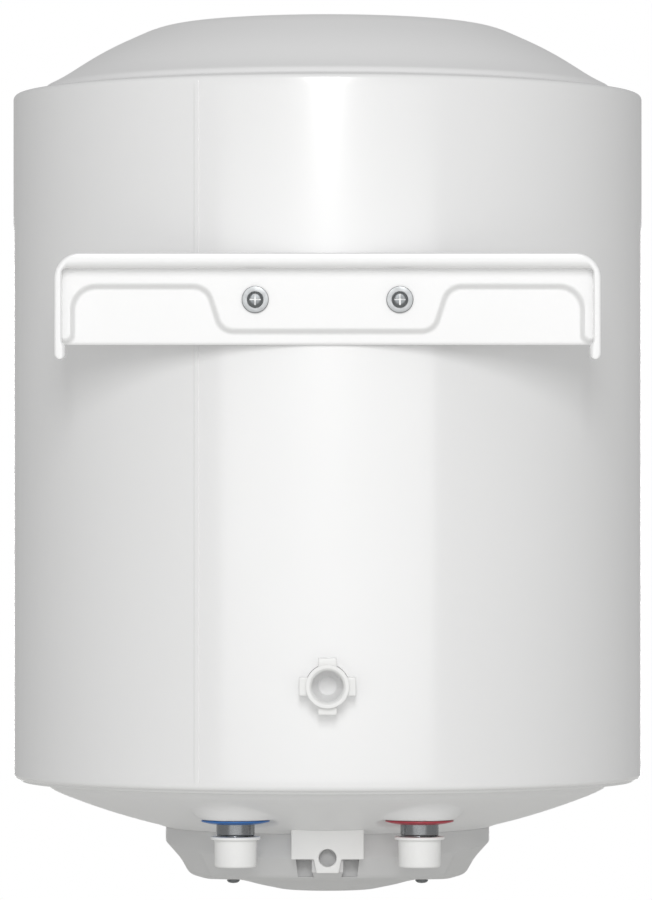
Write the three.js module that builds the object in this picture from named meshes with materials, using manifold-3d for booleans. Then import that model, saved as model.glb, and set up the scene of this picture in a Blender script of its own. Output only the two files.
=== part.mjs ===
// Wall-hung electric storage water heater: a round vertical tank in a painted steel jacket, hung on
// a wall by a pressed steel bracket, with its pipe nipples and its service cover underneath.
// Millimetres, +Z up. The front faces -Y and the wall is the plane Y = 0. The origin is the middle
// of the bracket's top nose, in the wall plane.
import * as THREE from 'three';
import { mergeVertices } from 'three/addons/utils/BufferGeometryUtils.js';
import Module from 'manifold-3d';

const wasm = await Module();
wasm.setup();

// ---- Driving dimensions ----------------------------------------------------------------------
const FIT = 0.3; // gap between pieces that touch
const BODY_RADIUS = 176.5;
const WALL_GAP = 15; // from the wall plane to the back of the jacket
const BODY_TOP = 100.5;
const BODY_BOTTOM = -283;
const JACKET_WALL = 0.8;
const JACKET_ROLL = 3; // radius of the jacket's rolled ends
const CAP_WALL = 1.2;
const CAP_SKIRT = 13; // how far the two caps reach inside the jacket
const TANK_RADIUS = 150;
const TANK_WALL = 2;
const TANK_HEAD = 42; // rise of each dished tank head
const TANK_TOP_SEAM = 76;
const TANK_BOTTOM_SEAM = -235;
const HAND_HOLE = 34; // radius of the tank's service opening
const SERVICE_OPENING = 48.5; // radius of the opening in the bottom cap
const CONE_SLOPE = 0.327; // fall of the bottom cap's cone per millimetre towards the axis
const CONE_START = { radius: 150, height: -290.8 };
const PIPE_SPACING = 100;
const PIPE_REACH = 115; // from the body's axis towards the wall
const PIPE_RADIUS = 10.4; // half-inch pipe thread
const PIPE_BORE = 7.5;
const PIPE_PAD = { radius: 24.5, height: -301.4 };
const BRACKET_HALF = 145.3;
const BRACKET_TOP = 4;
const BRACKET_PLATE = { back: 177.2, face: 179, raised: 181.5, bottom: -44.6 };
const BRACKET_SCREW = { x: 38.5, z: -20.6 };
const STANDOFF_HEIGHT = -226.4;
const COVER_RADIUS = 91;
const COVER_WALL = 2.2;
const COVER_FLOOR = -340.1;
const COVER_SCREW_X = 53;
// The block that the cord leaves through, with a narrow tab below it.
const OUTLET = {
  half: 19.8,
  face: 100,
  bottom: -323.3,
  tabBottom: -330.8,
  bore: 4.8,
  boreHeight: -322.5,
};
const THERMOMETER_HEIGHT = -215;
const WALL_REACH = BODY_RADIUS + WALL_GAP; // the wall plane, from the body's axis
const SHELL_SEGMENTS = 32;
const CORE_SEGMENTS = 16;
const SMALL_SEGMENTS = 16;
const HOLE_SEGMENTS = 12;
const SIDES = [-1, 1]; // hot side and cold side, -X and +X

// ---- Finishes --------------------------------------------------------------------------------
function finish(color, roughness, metalness) {
  return new THREE.MeshStandardMaterial({ color, roughness, metalness });
}
const enamel = finish(0xf1f1f1, 0.28, 0);
const whitePlastic = finish(0xf3f3f2, 0.38, 0);
const greyPlastic = finish(0xc9c9c9, 0.45, 0);
const blackPlastic = finish(0x2b2c2e, 0.5, 0);
const bluePlastic = finish(0x2f6db5, 0.35, 0);
const redPlastic = finish(0xb03a48, 0.35, 0);
const yellowFoam = finish(0xe3cf9a, 0.9, 0);
const glassLinedSteel = finish(0x2c4a6b, 0.35, 0.2);
const plainSteel = finish(0x8d8f91, 0.4, 0.9);
const zincSteel = finish(0xb9bbbd, 0.35, 0.9);
const copper = finish(0xb8744f, 0.3, 0.9);
const magnesium = finish(0xa9abab, 0.6, 0.7);
const rubber = finish(0x1d1d1d, 0.8, 0);
const brownWire = finish(0x6b3f22, 0.45, 0);
const blueWire = finish(0x2f62a8, 0.45, 0);
const greenWire = finish(0x5d8f2f, 0.45, 0);
const amberGlass = finish(0xd8701a, 0.15, 0);
const clearGlass = finish(0xdfe6e8, 0.05, 0);

// ---- Making solids ---------------------------------------------------------------------------
// A closed geometry as a manifold-3d solid, with its shared vertices merged.
function solid(geometry) {
  const bare = new THREE.BufferGeometry();
  bare.setAttribute('position', geometry.getAttribute('position'));
  bare.setIndex(geometry.index);
  const merged = mergeVertices(bare, 1e-4);
  const vertProperties = merged.getAttribute('position').array;
  const triVerts = new Uint32Array(merged.index.array);
  return new wasm.Manifold(new wasm.Mesh({ numProp: 3, vertProperties, triVerts }));
}

function geometryOf(manifold) {
  const mesh = manifold.getMesh();
  const geometry = new THREE.BufferGeometry();
  geometry.setAttribute('position', new THREE.BufferAttribute(mesh.vertProperties, 3));
  geometry.setIndex(new THREE.BufferAttribute(mesh.triVerts, 1));
  geometry.computeVertexNormals();
  return geometry;
}

function joined(first, ...others) {
  return others.reduce((sum, other) => sum.add(solid(other)), solid(first));
}

function cut(base, ...tools) {
  return tools.reduce((rest, tool) => rest.subtract(solid(tool)), base);
}

function mesh(name, shape, material) {
  const geometry = shape.isBufferGeometry ? shape : geometryOf(shape);
  const piece = new THREE.Mesh(geometry, material);
  piece.name = name;
  return piece;
}

// A solid turned about +Z from [radius, height] points that run up its outside.
function turned(points, segments = SMALL_SEGMENTS) {
  const profile = points.map(([radius, height]) => new THREE.Vector2(radius, height));
  return new THREE.LatheGeometry(profile, segments).rotateX(Math.PI / 2);
}

// A turned ring, whose outline closes on itself.
function ring(points, segments = SMALL_SEGMENTS) {
  return turned([...points, points[0]], segments);
}

function disc(radius, bottom, top, segments = SMALL_SEGMENTS) {
  return turned([[0, bottom], [radius, bottom], [radius, top], [0, top]], segments);
}

function tube(radius, bore, bottom, top, segments = SMALL_SEGMENTS) {
  return ring([[bore, bottom], [radius, bottom], [radius, top], [bore, top]], segments);
}

function block([x0, x1], [y0, y1], [z0, z1]) {
  const box = new THREE.BoxGeometry(x1 - x0, y1 - y0, z1 - z0);
  return box.translate((x0 + x1) / 2, (y0 + y1) / 2, (z0 + z1) / 2);
}

// Turned pieces whose axis runs to the wall (+Y) or to the front (-Y), instead of up.
function towardsWall(geometry, x, z) {
  return geometry.rotateX(-Math.PI / 2).translate(x, 0, z);
}

function towardsFront(geometry, x, z) {
  return geometry.rotateX(Math.PI / 2).translate(x, 0, z);
}

// An outline in X and Z, given thickness along Y from near to far.
function upright(points, near, far, bevel = 0) {
  const shape = new THREE.Shape(points.map(([x, z]) => new THREE.Vector2(x, z)));
  const geometry = new THREE.ExtrudeGeometry(shape, {
    depth: far - near - 2 * bevel,
    bevelEnabled: bevel > 0,
    bevelThickness: bevel,
    bevelSize: bevel,
    bevelOffset: -bevel,
    bevelSegments: 2,
  });
  return geometry.rotateX(Math.PI / 2).translate(0, far - bevel, 0);
}

// Points of an arc, in degrees.
function arc(cx, cy, radius, from, to, steps = 4) {
  return Array.from({ length: steps + 1 }, (_, i) => {
    const angle = THREE.MathUtils.degToRad(from + ((to - from) * i) / steps);
    return [cx + radius * Math.cos(angle), cy + radius * Math.sin(angle)];
  });
}

// The outline moved sideways, to its left when the distance is positive.
function offset(points, distance) {
  return points.map(([x, y], i) => {
    const before = points[Math.max(i - 1, 0)];
    const after = points[Math.min(i + 1, points.length - 1)];
    const along = new THREE.Vector2(after[0] - before[0], after[1] - before[1]).normalize();
    return [Math.max(x - along.y * distance, 0), y + along.x * distance];
  });
}

// A round wire or tube through a smooth run of points.
function wire(points, radius, steps) {
  const section = new THREE.Shape();
  section.absarc(0, 0, radius, 0, 2 * Math.PI, false);
  const extrudePath = new THREE.CatmullRomCurve3(points.map((point) => new THREE.Vector3(...point)));
  return new THREE.ExtrudeGeometry(section, { steps, curveSegments: 4, extrudePath });
}

function coneHeight(radius) {
  return CONE_START.height - CONE_SLOPE * (CONE_START.radius - radius);
}

// ---- Outer shell -----------------------------------------------------------------------------
const BOSS_HOLE = 8.4;
function bracketBossHoles(near) {
  const hole = () => disc(BOSS_HOLE, near, WALL_REACH);
  return SIDES.map((side) => towardsWall(hole(), side * BRACKET_SCREW.x, BRACKET_SCREW.z));
}

const STANDOFF_HOLE = 12.2;
function standoffHole(near) {
  return towardsWall(disc(STANDOFF_HOLE, near, WALL_REACH), 0, STANDOFF_HEIGHT);
}

const THERMOMETER_HOLE = 19.4;
function thermometerHole(near) {
  return towardsFront(disc(THERMOMETER_HOLE, near, WALL_REACH), 0, THERMOMETER_HEIGHT);
}

function outerJacket() {
  const roll = BODY_RADIUS - JACKET_ROLL;
  const low = BODY_BOTTOM + JACKET_ROLL;
  const high = BODY_TOP - JACKET_ROLL;
  const inside = JACKET_ROLL - JACKET_WALL;
  const profile = [
    ...arc(roll, low, JACKET_ROLL, -90, 0, 3),
    ...arc(roll, high, JACKET_ROLL, 0, 90, 3),
    ...arc(roll, high, inside, 90, 0, 2),
    ...arc(roll, low, inside, 0, -90, 2),
  ];
  const skin = solid(ring(profile, SHELL_SEGMENTS));
  const near = TANK_RADIUS;
  return cut(skin, ...bracketBossHoles(near), standoffHole(near), thermometerHole(near));
}

// The top cap's outside: a skirt inside the jacket, a narrow shoulder, then a cone that rounds into
// an almost flat crown.
const CAP_RIM = BODY_RADIUS - JACKET_ROLL - FIT;
const CROWN_HEIGHT = 144.8;
const topOutline = [
  [CAP_RIM, BODY_TOP - CAP_SKIRT],
  [CAP_RIM, BODY_TOP - 0.5],
  ...new THREE.SplineCurve([
    new THREE.Vector2(171.5, 101.3), new THREE.Vector2(159.5, 103.5), new THREE.Vector2(150, 109.6),
    new THREE.Vector2(120, 128.2), new THREE.Vector2(100, 136.6), new THREE.Vector2(80, 140.4),
    new THREE.Vector2(40, 142.8), new THREE.Vector2(0, CROWN_HEIGHT),
  ]).getPoints(8).map((point) => [Math.max(point.x, 0), point.y]),
];

// The bottom cap's outside: from its service opening out along a shallow cone to a flat shoulder.
const bottomOutline = [
  [SERVICE_OPENING, coneHeight(SERVICE_OPENING)],
  [CONE_START.radius, CONE_START.height],
  [155.5, -288],
  [158.5, -285.4],
  [171.5, -284.6],
  [CAP_RIM, BODY_BOTTOM + 0.2],
  [CAP_RIM, BODY_BOTTOM + CAP_SKIRT],
];

const PLUG_HOLE = 7;
function topCap() {
  const profile = [...offset(topOutline, CAP_WALL).reverse(), ...topOutline];
  return cut(solid(turned(profile, SHELL_SEGMENTS)), disc(PLUG_HOLE, CROWN_HEIGHT - 5, CROWN_HEIGHT + 1));
}

function topPlug() {
  const seat = CROWN_HEIGHT + FIT;
  const stem = CROWN_HEIGHT - 5;
  const radius = PLUG_HOLE - FIT;
  return turned([[0, stem], [radius, stem], [radius, seat], [9, seat], [8.6, seat + 1], [0, seat + 1.2]]);
}

// Everything above the bottom cap's outside, moved inwards by a wall.
function aboveBottomCap(wall, top) {
  const outline = offset(bottomOutline, wall);
  const rim = outline[outline.length - 1][0];
  const opening = [0, coneHeight(0) + wall];
  return solid(turned([opening, ...outline.slice(0, -1), [rim, top], [0, top]], SHELL_SEGMENTS));
}

function atPipes(make) {
  return SIDES.map((side) => make().translate((side * PIPE_SPACING) / 2, PIPE_REACH, 0));
}

function atCoverScrews(make) {
  return SIDES.map((side) => make().translate(side * COVER_SCREW_X, 0, 0));
}

// Everything above the cap's outer or inner skin, with a flat round pad under each pipe.
function paddedCap(wall, top) {
  const radius = PIPE_PAD.radius + wall;
  const height = PIPE_PAD.height + wall;
  const dish = cut(aboveBottomCap(wall, top), ...atPipes(() => disc(radius, coneHeight(0), height)));
  const pads = atPipes(() => disc(radius - 2 * wall, height, top - 1));
  return pads.reduce((sum, pad) => sum.add(solid(pad)), dish);
}

const COVER_POST = { radius: 4, bore: 2.2, depth: 14 };
function bottomCap() {
  const top = BODY_BOTTOM + CAP_SKIRT;
  const deep = coneHeight(0);
  const foot = COVER_FLOOR + COVER_WALL + FIT;
  const posts = atCoverScrews(() => disc(COVER_POST.radius, foot, top - 1, HOLE_SEGMENTS));
  const outside = posts.reduce((sum, post) => sum.add(solid(post)), paddedCap(0, top));
  const shell = outside.subtract(paddedCap(CAP_WALL, top + 1));
  const postEnd = COVER_FLOOR + COVER_POST.depth;
  return cut(
    shell,
    disc(SERVICE_OPENING, deep - 20, top),
    ...atPipes(() => disc(PIPE_RADIUS + FIT, deep, top)),
    ...atCoverScrews(() => disc(COVER_POST.bore, COVER_FLOOR, postEnd, HOLE_SEGMENTS)),
  );
}

// ---- Tank and insulation ---------------------------------------------------------------------
// The tank's outline from its bottom opening to its crown, with two dished (elliptic) heads.
function tankOutline(grow) {
  const radius = TANK_RADIUS + grow;
  const rise = TANK_HEAD + grow;
  const start = Math.acos(HAND_HOLE / radius);
  const lower = [1, 0.75, 0.5, 0.25, 0].map((share) => {
    const angle = start * share;
    return [radius * Math.cos(angle), TANK_BOTTOM_SEAM - rise * Math.sin(angle)];
  });
  const upper = [0, 0.25, 0.5, 0.75].map((share) => {
    const angle = (Math.PI / 2) * share;
    return [radius * Math.cos(angle), TANK_TOP_SEAM + rise * Math.sin(angle)];
  });
  return [...lower, ...upper, [0, TANK_TOP_SEAM + rise]];
}

const pipeHoles = () => atPipes(() => disc(PIPE_RADIUS + FIT, -330, -200));

function innerTank() {
  const outside = tankOutline(0);
  const inside = tankOutline(-TANK_WALL);
  const profile = [...inside.reverse(), ...outside];
  return cut(solid(turned(profile, CORE_SEGMENTS)), ...pipeHoles());
}

function insulationFoam() {
  const low = offset(bottomOutline, CAP_WALL + FIT);
  const high = offset(topOutline, CAP_WALL + FIT);
  const side = BODY_RADIUS - JACKET_WALL - 2 * FIT;
  const [lowest, ...inside] = tankOutline(FIT);
  const profile = [
    ...inside.reverse(),
    [SERVICE_OPENING + 1, lowest[1]],
    [SERVICE_OPENING + 1, coneHeight(SERVICE_OPENING + 1) + 1.1 * (CAP_WALL + FIT)],
    ...low.slice(1),
    [side, BODY_BOTTOM + CAP_SKIRT + 2],
    [side, BODY_TOP - CAP_SKIRT - 2],
    ...high,
  ];
  const around = CAP_WALL + FIT;
  const near = TANK_RADIUS - 50;
  return cut(
    solid(turned(profile, CORE_SEGMENTS)),
    ...atPipes(() => disc(PIPE_PAD.radius + around, coneHeight(0), PIPE_PAD.height + around)),
    ...pipeHoles(),
    ...bracketBossHoles(near),
    standoffHole(162),
    thermometerHole(near),
    disc(PLUG_HOLE + 1, CROWN_HEIGHT - 6, CROWN_HEIGHT, HOLE_SEGMENTS),
  );
}

// ---- Service opening: flange, heating element, anode -----------------------------------------
const FLANGE = {
  ringTop: -270,
  ring: -283,
  gasket: -283.3,
  plate: -286.1,
  under: -290.1,
  radius: 45,
  bolts: 38.5,
};
const FLANGE_RING = { radius: 46, bore: 32 };
const ELEMENT_LEG = 18;
const ANODE_Y = -20;

// The ring is welded over the tank's opening, so its top follows the dished head.
function tankFlangeRing() {
  const collar = tube(FLANGE_RING.radius, FLANGE_RING.bore, FLANGE.ring, FLANGE.ringTop, CORE_SEGMENTS);
  const outline = tankOutline(FIT);
  const head = turned([[0, outline[0][1]], ...outline], CORE_SEGMENTS);
  return cut(solid(collar), head);
}

function flangeGasket() {
  const { radius, bore } = FLANGE_RING;
  return tube(radius, bore, FLANGE.plate + FIT, FLANGE.gasket, CORE_SEGMENTS);
}

function flangePlate() {
  const plate = solid(disc(FLANGE.radius, FLANGE.under, FLANGE.plate));
  const hole = (radius) => disc(radius, FLANGE.under - 1, FLANGE.plate + 1, HOLE_SEGMENTS);
  const legs = SIDES.map((side) => hole(4.5).translate(side * ELEMENT_LEG, 0, 0));
  return cut(plate, ...legs, hole(5.3), hole(3.3).translate(0, ANODE_Y, 0));
}

function flangeNut() {
  const seat = FLANGE.under - FIT;
  const nut = new THREE.CylinderGeometry(5.8, 5.8, 5, 6).rotateX(Math.PI / 2);
  return joined(nut.translate(0, 0, seat - 2.5), disc(3, seat - 8, seat - 3, HOLE_SEGMENTS));
}

function heatingElement() {
  const top = -95;
  const points = [
    [ELEMENT_LEG, 0, -301], [ELEMENT_LEG, 0, -250], [ELEMENT_LEG, 0, -180], [ELEMENT_LEG, 2, top - 20],
    [ELEMENT_LEG * 0.7, 4, top - 5], [0, 5, top], [-ELEMENT_LEG * 0.7, 4, top - 5],
    [-ELEMENT_LEG, 2, top - 20], [-ELEMENT_LEG, 0, -180], [-ELEMENT_LEG, 0, -250], [-ELEMENT_LEG, 0, -301],
  ];
  return wire(points, 4.1, 30);
}

function thermowell() {
  const end = -120.5;
  const outline = [[0, end - 1.5], [3.6, end - 1.5], [3.6, -290], [5, -290], [5, end], [0, end]];
  return turned(outline, HOLE_SEGMENTS);
}

function anodeRod() {
  const outline = [[0, -300], [3, -300], [3, -276], [9, -274], [9, -132], [7, -130], [0, -130]];
  return turned(outline).translate(0, ANODE_Y, 0);
}

// ---- Water pipes -----------------------------------------------------------------------------
const NIPPLE = { bottom: -324.9, top: -248 };
const ROSETTE = { rim: -301.7, bulge: -303.9, radius: 18.5 };
const TRANSIT = { top: -309.9, flange: 13.55, body: 11.45, bottom: -326.6 };

function rosette() {
  const bore = PIPE_RADIUS + FIT;
  return ring([[bore, ROSETTE.bulge], [14, ROSETTE.bulge + 0.4], [ROSETTE.radius, ROSETTE.rim - 0.5],
    [ROSETTE.radius, ROSETTE.rim], [bore, ROSETTE.rim]]);
}

// The push-on transit cap: a cup that opens upwards, with a flange round its mouth.
function transitCap() {
  const bore = PIPE_RADIUS + FIT;
  const wall = 1.6;
  return turned([
    [0, TRANSIT.bottom],
    [TRANSIT.body - wall, TRANSIT.bottom],
    [TRANSIT.body, TRANSIT.bottom + wall],
    [TRANSIT.body, TRANSIT.top - wall],
    [TRANSIT.flange, TRANSIT.top - wall],
    [TRANSIT.flange, TRANSIT.top],
    [bore, TRANSIT.top],
    [bore, NIPPLE.bottom - FIT],
    [0, NIPPLE.bottom - FIT],
  ]);
}

// The inlet diffuser: a capped thimble on the cold nipple, with side windows.
function inletDiffuser() {
  const low = NIPPLE.top + FIT;
  const inside = 9;
  const roof = low + 14;
  const thimble = solid(turned([[0, roof], [inside, roof], [inside, low], [PIPE_RADIUS, low],
    [PIPE_RADIUS, roof + 2], [0, roof + 2]]));
  const window = [low + 5, low + 12];
  return cut(thimble, block([-12, 12], [-4, 4], window), block([-4, 4], [-12, 12], window));
}

function hotWaterPipe() {
  return tube(7, 5.8, NIPPLE.top + FIT, 84);
}

// ---- Hanging bracket -------------------------------------------------------------------------
const BRACKET_CORNER = 13.6;
const BRACKET_NOSE = 8.2; // height of the rolled top lip
const BRACKET_SIDE = 4.1; // width of the side flanges
const LUG_RADIUS = 3;
const LUG_CENTRE = -49.6;

// A mirror-symmetric outline from its right half, which runs from top to bottom.
function mirrored(right) {
  return [...right, ...[...right].reverse().map(([x, z]) => [-x, z])];
}

// The rim: the top lip and both side flanges as one inverted U, with round lug tips.
function bracketRim() {
  const inner = BRACKET_HALF - BRACKET_SIDE;
  const lip = BRACKET_TOP - BRACKET_NOSE;
  const innerCorner = BRACKET_CORNER - BRACKET_SIDE;
  const lug = BRACKET_HALF - LUG_RADIUS;
  const right = [
    ...arc(BRACKET_HALF - BRACKET_CORNER, BRACKET_TOP - BRACKET_CORNER, BRACKET_CORNER, 90, 0),
    ...arc(lug, LUG_CENTRE, LUG_RADIUS, 0, -180),
    [lug - LUG_RADIUS, BRACKET_PLATE.bottom],
    [inner, BRACKET_PLATE.bottom],
    ...arc(inner - innerCorner, lip - innerCorner, innerCorner, 0, 90, 3),
  ];
  const bevel = 1.2;
  return upright(mirrored(right), BRACKET_PLATE.back, WALL_REACH, bevel);
}

// The pressed-out area: a band under the lip, a strip down each end and a broad middle panel.
function bracketPressing() {
  const outer = BRACKET_HALF - BRACKET_SIDE;
  const band = -13.6;
  const panel = { half: 61.6, bottom: -37.5, corner: 10, foot: 9 };
  const right = [
    [outer, BRACKET_TOP - BRACKET_CORNER],
    ...arc(outer - 2.7, -38.9, 2.7, 0, -180),
    ...arc(outer - 5.4 - 12.5, band - 12.5, 12.5, 0, 90),
    ...arc(panel.half + panel.corner, band - panel.corner, panel.corner, 90, 165),
    ...arc(panel.half - 2.5 - panel.foot, panel.bottom + panel.foot, panel.foot, -15, -90),
  ];
  return upright(mirrored(right), BRACKET_PLATE.back, BRACKET_PLATE.raised);
}

function hangingBracket() {
  const corner = BRACKET_HALF - BRACKET_CORNER;
  const inset = 0.5;
  const turn = arc(corner, BRACKET_TOP - BRACKET_CORNER, BRACKET_CORNER - inset, 90, 0);
  const plateOutline = mirrored([...turn, [BRACKET_HALF - inset, BRACKET_PLATE.bottom]]);
  const plate = upright(plateOutline, BRACKET_PLATE.back, BRACKET_PLATE.face);
  const hole = () => disc(3, BRACKET_PLATE.back - 1, WALL_REACH, HOLE_SEGMENTS);
  const holes = SIDES.map((side) => towardsWall(hole(), side * BRACKET_SCREW.x, BRACKET_SCREW.z));
  return cut(joined(plate, bracketPressing(), bracketRim()), ...holes);
}

// A threaded boss welded to the tank, which carries the bracket through foam and jacket.
function bracketBoss(side) {
  const post = tube(8, 2.8, TANK_RADIUS - 20, BRACKET_PLATE.back - FIT);
  const boss = solid(towardsWall(post, side * BRACKET_SCREW.x, BRACKET_SCREW.z));
  return cut(boss, disc(TANK_RADIUS + FIT, -60, 20, CORE_SEGMENTS));
}

const WASHER_THICKNESS = 1.2;
function bracketWasher(side) {
  const seat = BRACKET_PLATE.raised + FIT;
  const face = seat + WASHER_THICKNESS;
  const washer = ring([[2.8, seat], [7.2, seat], [7.2, face - 0.3], [6.8, face], [2.8, face]]);
  return towardsWall(washer, side * BRACKET_SCREW.x, BRACKET_SCREW.z);
}

function bracketScrew(side) {
  const seat = BRACKET_PLATE.raised + 2 * FIT + WASHER_THICKNESS;
  const screw = turned([[0, 156], [2.5, 157], [2.5, seat], [4.4, seat], [4.3, seat + 1.4], [3, seat + 2.5],
    [0, seat + 2.8]]);
  const wide = [-2.4, 2.4];
  const narrow = [-0.45, 0.45];
  const depth = [seat + 1.2, seat + 4];
  const slotted = cut(solid(screw), block(wide, narrow, depth), block(narrow, wide, depth));
  return towardsWall(geometryOf(slotted), side * BRACKET_SCREW.x, BRACKET_SCREW.z);
}

// ---- Wall standoff: a lugged collar on a fixed threaded socket, with a swivel pad -------------
const STANDOFF = {
  radius: 11.6,
  mouth: 8.55,
  skirt: 170,
  front: 189,
  pad: 189.3,
  lug: 15.1,
  lugHalf: 4.9,
  lugDepth: [180, 188.5],
};

function standoffSocket() {
  const cup = turned([[0, 162.4], [10, 162.4], [10, 182], [8.2, 182], [4.9, 163.6], [0, 163.6]]);
  return towardsWall(cup, 0, STANDOFF_HEIGHT);
}

function standoffCollar() {
  const { radius, mouth, skirt, front, lug, lugHalf, lugDepth } = STANDOFF;
  const lugs = [
    block([-lug, lug], [-lugHalf, lugHalf], lugDepth),
    block([-lugHalf, lugHalf], [-lug, lug], lugDepth),
  ];
  const bores = [disc(10.3, skirt - 1, front - 3), disc(mouth, skirt, front + 1)];
  const collar = cut(joined(tube(radius, mouth, skirt, front), ...lugs), ...bores);
  return towardsWall(geometryOf(collar), 0, STANDOFF_HEIGHT);
}

function standoffPad() {
  const { radius, mouth, pad } = STANDOFF;
  const chamfer = 1.2;
  const foot = ring([[mouth, pad], [radius, pad], [radius, WALL_REACH], [mouth + chamfer, WALL_REACH],
    [mouth, WALL_REACH - chamfer]]);
  return towardsWall(foot, 0, STANDOFF_HEIGHT);
}

// ---- Service cover ---------------------------------------------------------------------------
// The cover's outside, from the knob's well outwards: a low boss, a flat ring, a sloping side and
// a short upright wall that meets the bottom cap.
const WELL = { radius: 19, floor: -335.8, shaft: 4.2 };
const coverOutline = [
  [WELL.shaft, WELL.floor],
  [WELL.radius, WELL.floor],
  [WELL.radius, -345.4],
  [26.7, -345],
  [38, -342.9],
  [46, -340.9],
  [51, COVER_FLOOR],
  [62.8, COVER_FLOOR],
  ...arc(64, -320, 20.1, -78, -48, 3),
  [COVER_RADIUS, -317.7],
  [COVER_RADIUS, -304],
];
const PILOT_Y = -34;

// A dish between two outlines of the cover, filled up to a height.
function filledDish(wall, top) {
  const outline = offset(coverOutline, wall);
  const rim = outline[outline.length - 1][0];
  return turned([[0, outline[0][1]], ...outline.slice(0, -1), [rim, top], [0, top]], SHELL_SEGMENTS);
}

// The outlet block on the wall side of the cover, moved inwards by a wall.
function outletBlock(wall) {
  const { half, face, bottom, tabBottom } = OUTLET;
  const front = face - 3.3 - wall;
  return [
    block([-half + 0.4 + wall, half - 0.4 - wall], [50, front], [bottom + wall, -298]),
    block([-9 + wall, 9 - wall], [50, front], [tabBottom + wall, -300]),
  ];
}

function serviceCover() {
  const outside = joined(filledDish(0, -300), ...outletBlock(0));
  const well = disc(WELL.radius, COVER_FLOOR - 10, WELL.floor);
  const dishInside = solid(filledDish(COVER_WALL, -299));
  const inside = outletBlock(COVER_WALL).reduce((sum, part) => sum.add(solid(part)), dishInside);
  const wellWall = disc(WELL.radius + COVER_WALL, COVER_FLOOR - 10, WELL.floor + COVER_WALL);
  const hollow = cut(inside, wellWall);
  const shell = outside.subtract(hollow);
  const through = (radius, segments) => disc(radius, -350, -330, segments);
  const cordBore = disc(OUTLET.bore + FIT, OUTLET.face - 15, OUTLET.face + 10);
  const trimmed = shell.subtract(aboveBottomCap(-FIT, -280));
  return cut(
    trimmed,
    well,
    through(WELL.shaft),
    through(4.6, HOLE_SEGMENTS).translate(0, PILOT_Y, 0),
    towardsWall(cordBore, 0, OUTLET.boreHeight),
    ...atCoverScrews(() => through(2.4, HOLE_SEGMENTS)),
  );
}

function cableEntryPlate() {
  const { half, face, bottom, tabBottom, bore, boreHeight } = OUTLET;
  const outline = mirrored([[half, -300], [half, bottom], [7.5, bottom], [6, tabBottom]]);
  const hole = towardsWall(disc(bore, face - 10, face + 10), 0, boreHeight);
  return cut(solid(upright(outline, face - 3, face)), hole).subtract(aboveBottomCap(-FIT, -280));
}

function coverScrew() {
  const seat = COVER_FLOOR - FIT;
  const outline = [[0, seat - 1.9], [2.6, seat - 1.6], [3.6, seat - 0.6], [3.6, seat], [1.9, seat],
    [1.9, seat + 12], [0, seat + 13]];
  return turned(outline, HOLE_SEGMENTS);
}

// ---- Controls behind and in the cover --------------------------------------------------------
const THERMOSTAT = { top: -290.4, bottom: -321 };

function thermostatBody() {
  const body = block([-12, 12], [-14, 12], [THERMOSTAT.bottom, THERMOSTAT.top - 1]);
  const sensor = disc(3.2, THERMOSTAT.top - 4, -140, HOLE_SEGMENTS);
  const socket = disc(3.4, THERMOSTAT.bottom - 1, THERMOSTAT.bottom + 8, HOLE_SEGMENTS);
  return cut(joined(body, sensor), socket);
}

function thermostatShaft() {
  return disc(3, WELL.floor - 7, THERMOSTAT.bottom + 7, HOLE_SEGMENTS);
}

// The knob: a skirted disc with a finger bar across it, bored for its shaft.
function thermostatKnob() {
  const top = WELL.floor - 1.6;
  const grip = joined(
    turned([[0, -341.5], [15, -341.5], [17, -340.5], [17, top], [0, top]]),
    block([-13, 13], [-3, 3], [-345.2, -340]),
  );
  return cut(grip, disc(3.3, WELL.floor - 7.3, top + 1, HOLE_SEGMENTS));
}

const CUTOUT = { x: 16, y: 22 };
function safetyCutout() {
  const base = solid(disc(7, -301, THERMOSTAT.top));
  const made = geometryOf(cut(base, disc(2.8, -302, -294.5, HOLE_SEGMENTS)));
  return made.translate(CUTOUT.x, CUTOUT.y, 0);
}

function resetButton() {
  const outline = [[0, -305], [2.1, -305], [2.5, -304.4], [2.5, -297], [0, -297]];
  return turned(outline, HOLE_SEGMENTS).translate(CUTOUT.x, CUTOUT.y, 0);
}

function terminalBlock() {
  const base = solid(block([-14, 14], [56, 73], [-334, -323]));
  const ways = [-9, 0, 9].map((x) => towardsWall(disc(2, 55, 63, 8), x, -328));
  return cut(base, ...ways);
}

function pilotLampBody() {
  return disc(4, -340.6, -324).translate(0, PILOT_Y, 0);
}

function pilotLampLens() {
  const outline = [[0, -345.4], [2.6, -345], [4.2, -343.4], [4.2, -340.9], [0, -340.9]];
  return turned(outline).translate(0, PILOT_Y, 0);
}

// ---- Dial thermometer on the front -----------------------------------------------------------
function thermometerHousing() {
  const outline = [[0, 165], [19, 165], [19, 173], [24, 173], [24, 183], [22.6, 184.5], [19.2, 184.5],
    [18.3, 183.6], [18.3, 181.2], [17, 181.2], [17, 167], [0, 167]];
  const cup = towardsFront(turned(outline), 0, THERMOMETER_HEIGHT);
  const stemHole = towardsFront(disc(THERMOMETER_HOLE - FIT, 150, 200), 0, THERMOMETER_HEIGHT);
  const jacketSide = cut(solid(disc(BODY_RADIUS + FIT, -250, -180, SHELL_SEGMENTS)), stemHole);
  return solid(cup).subtract(jacketSide);
}

function thermometerStem() {
  return towardsFront(disc(4, TANK_RADIUS + FIT, 165 - FIT, HOLE_SEGMENTS), 0, THERMOMETER_HEIGHT);
}

function thermometerDial() {
  return towardsFront(disc(16.6, 167.3, 168.1), 0, THERMOMETER_HEIGHT);
}

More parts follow.
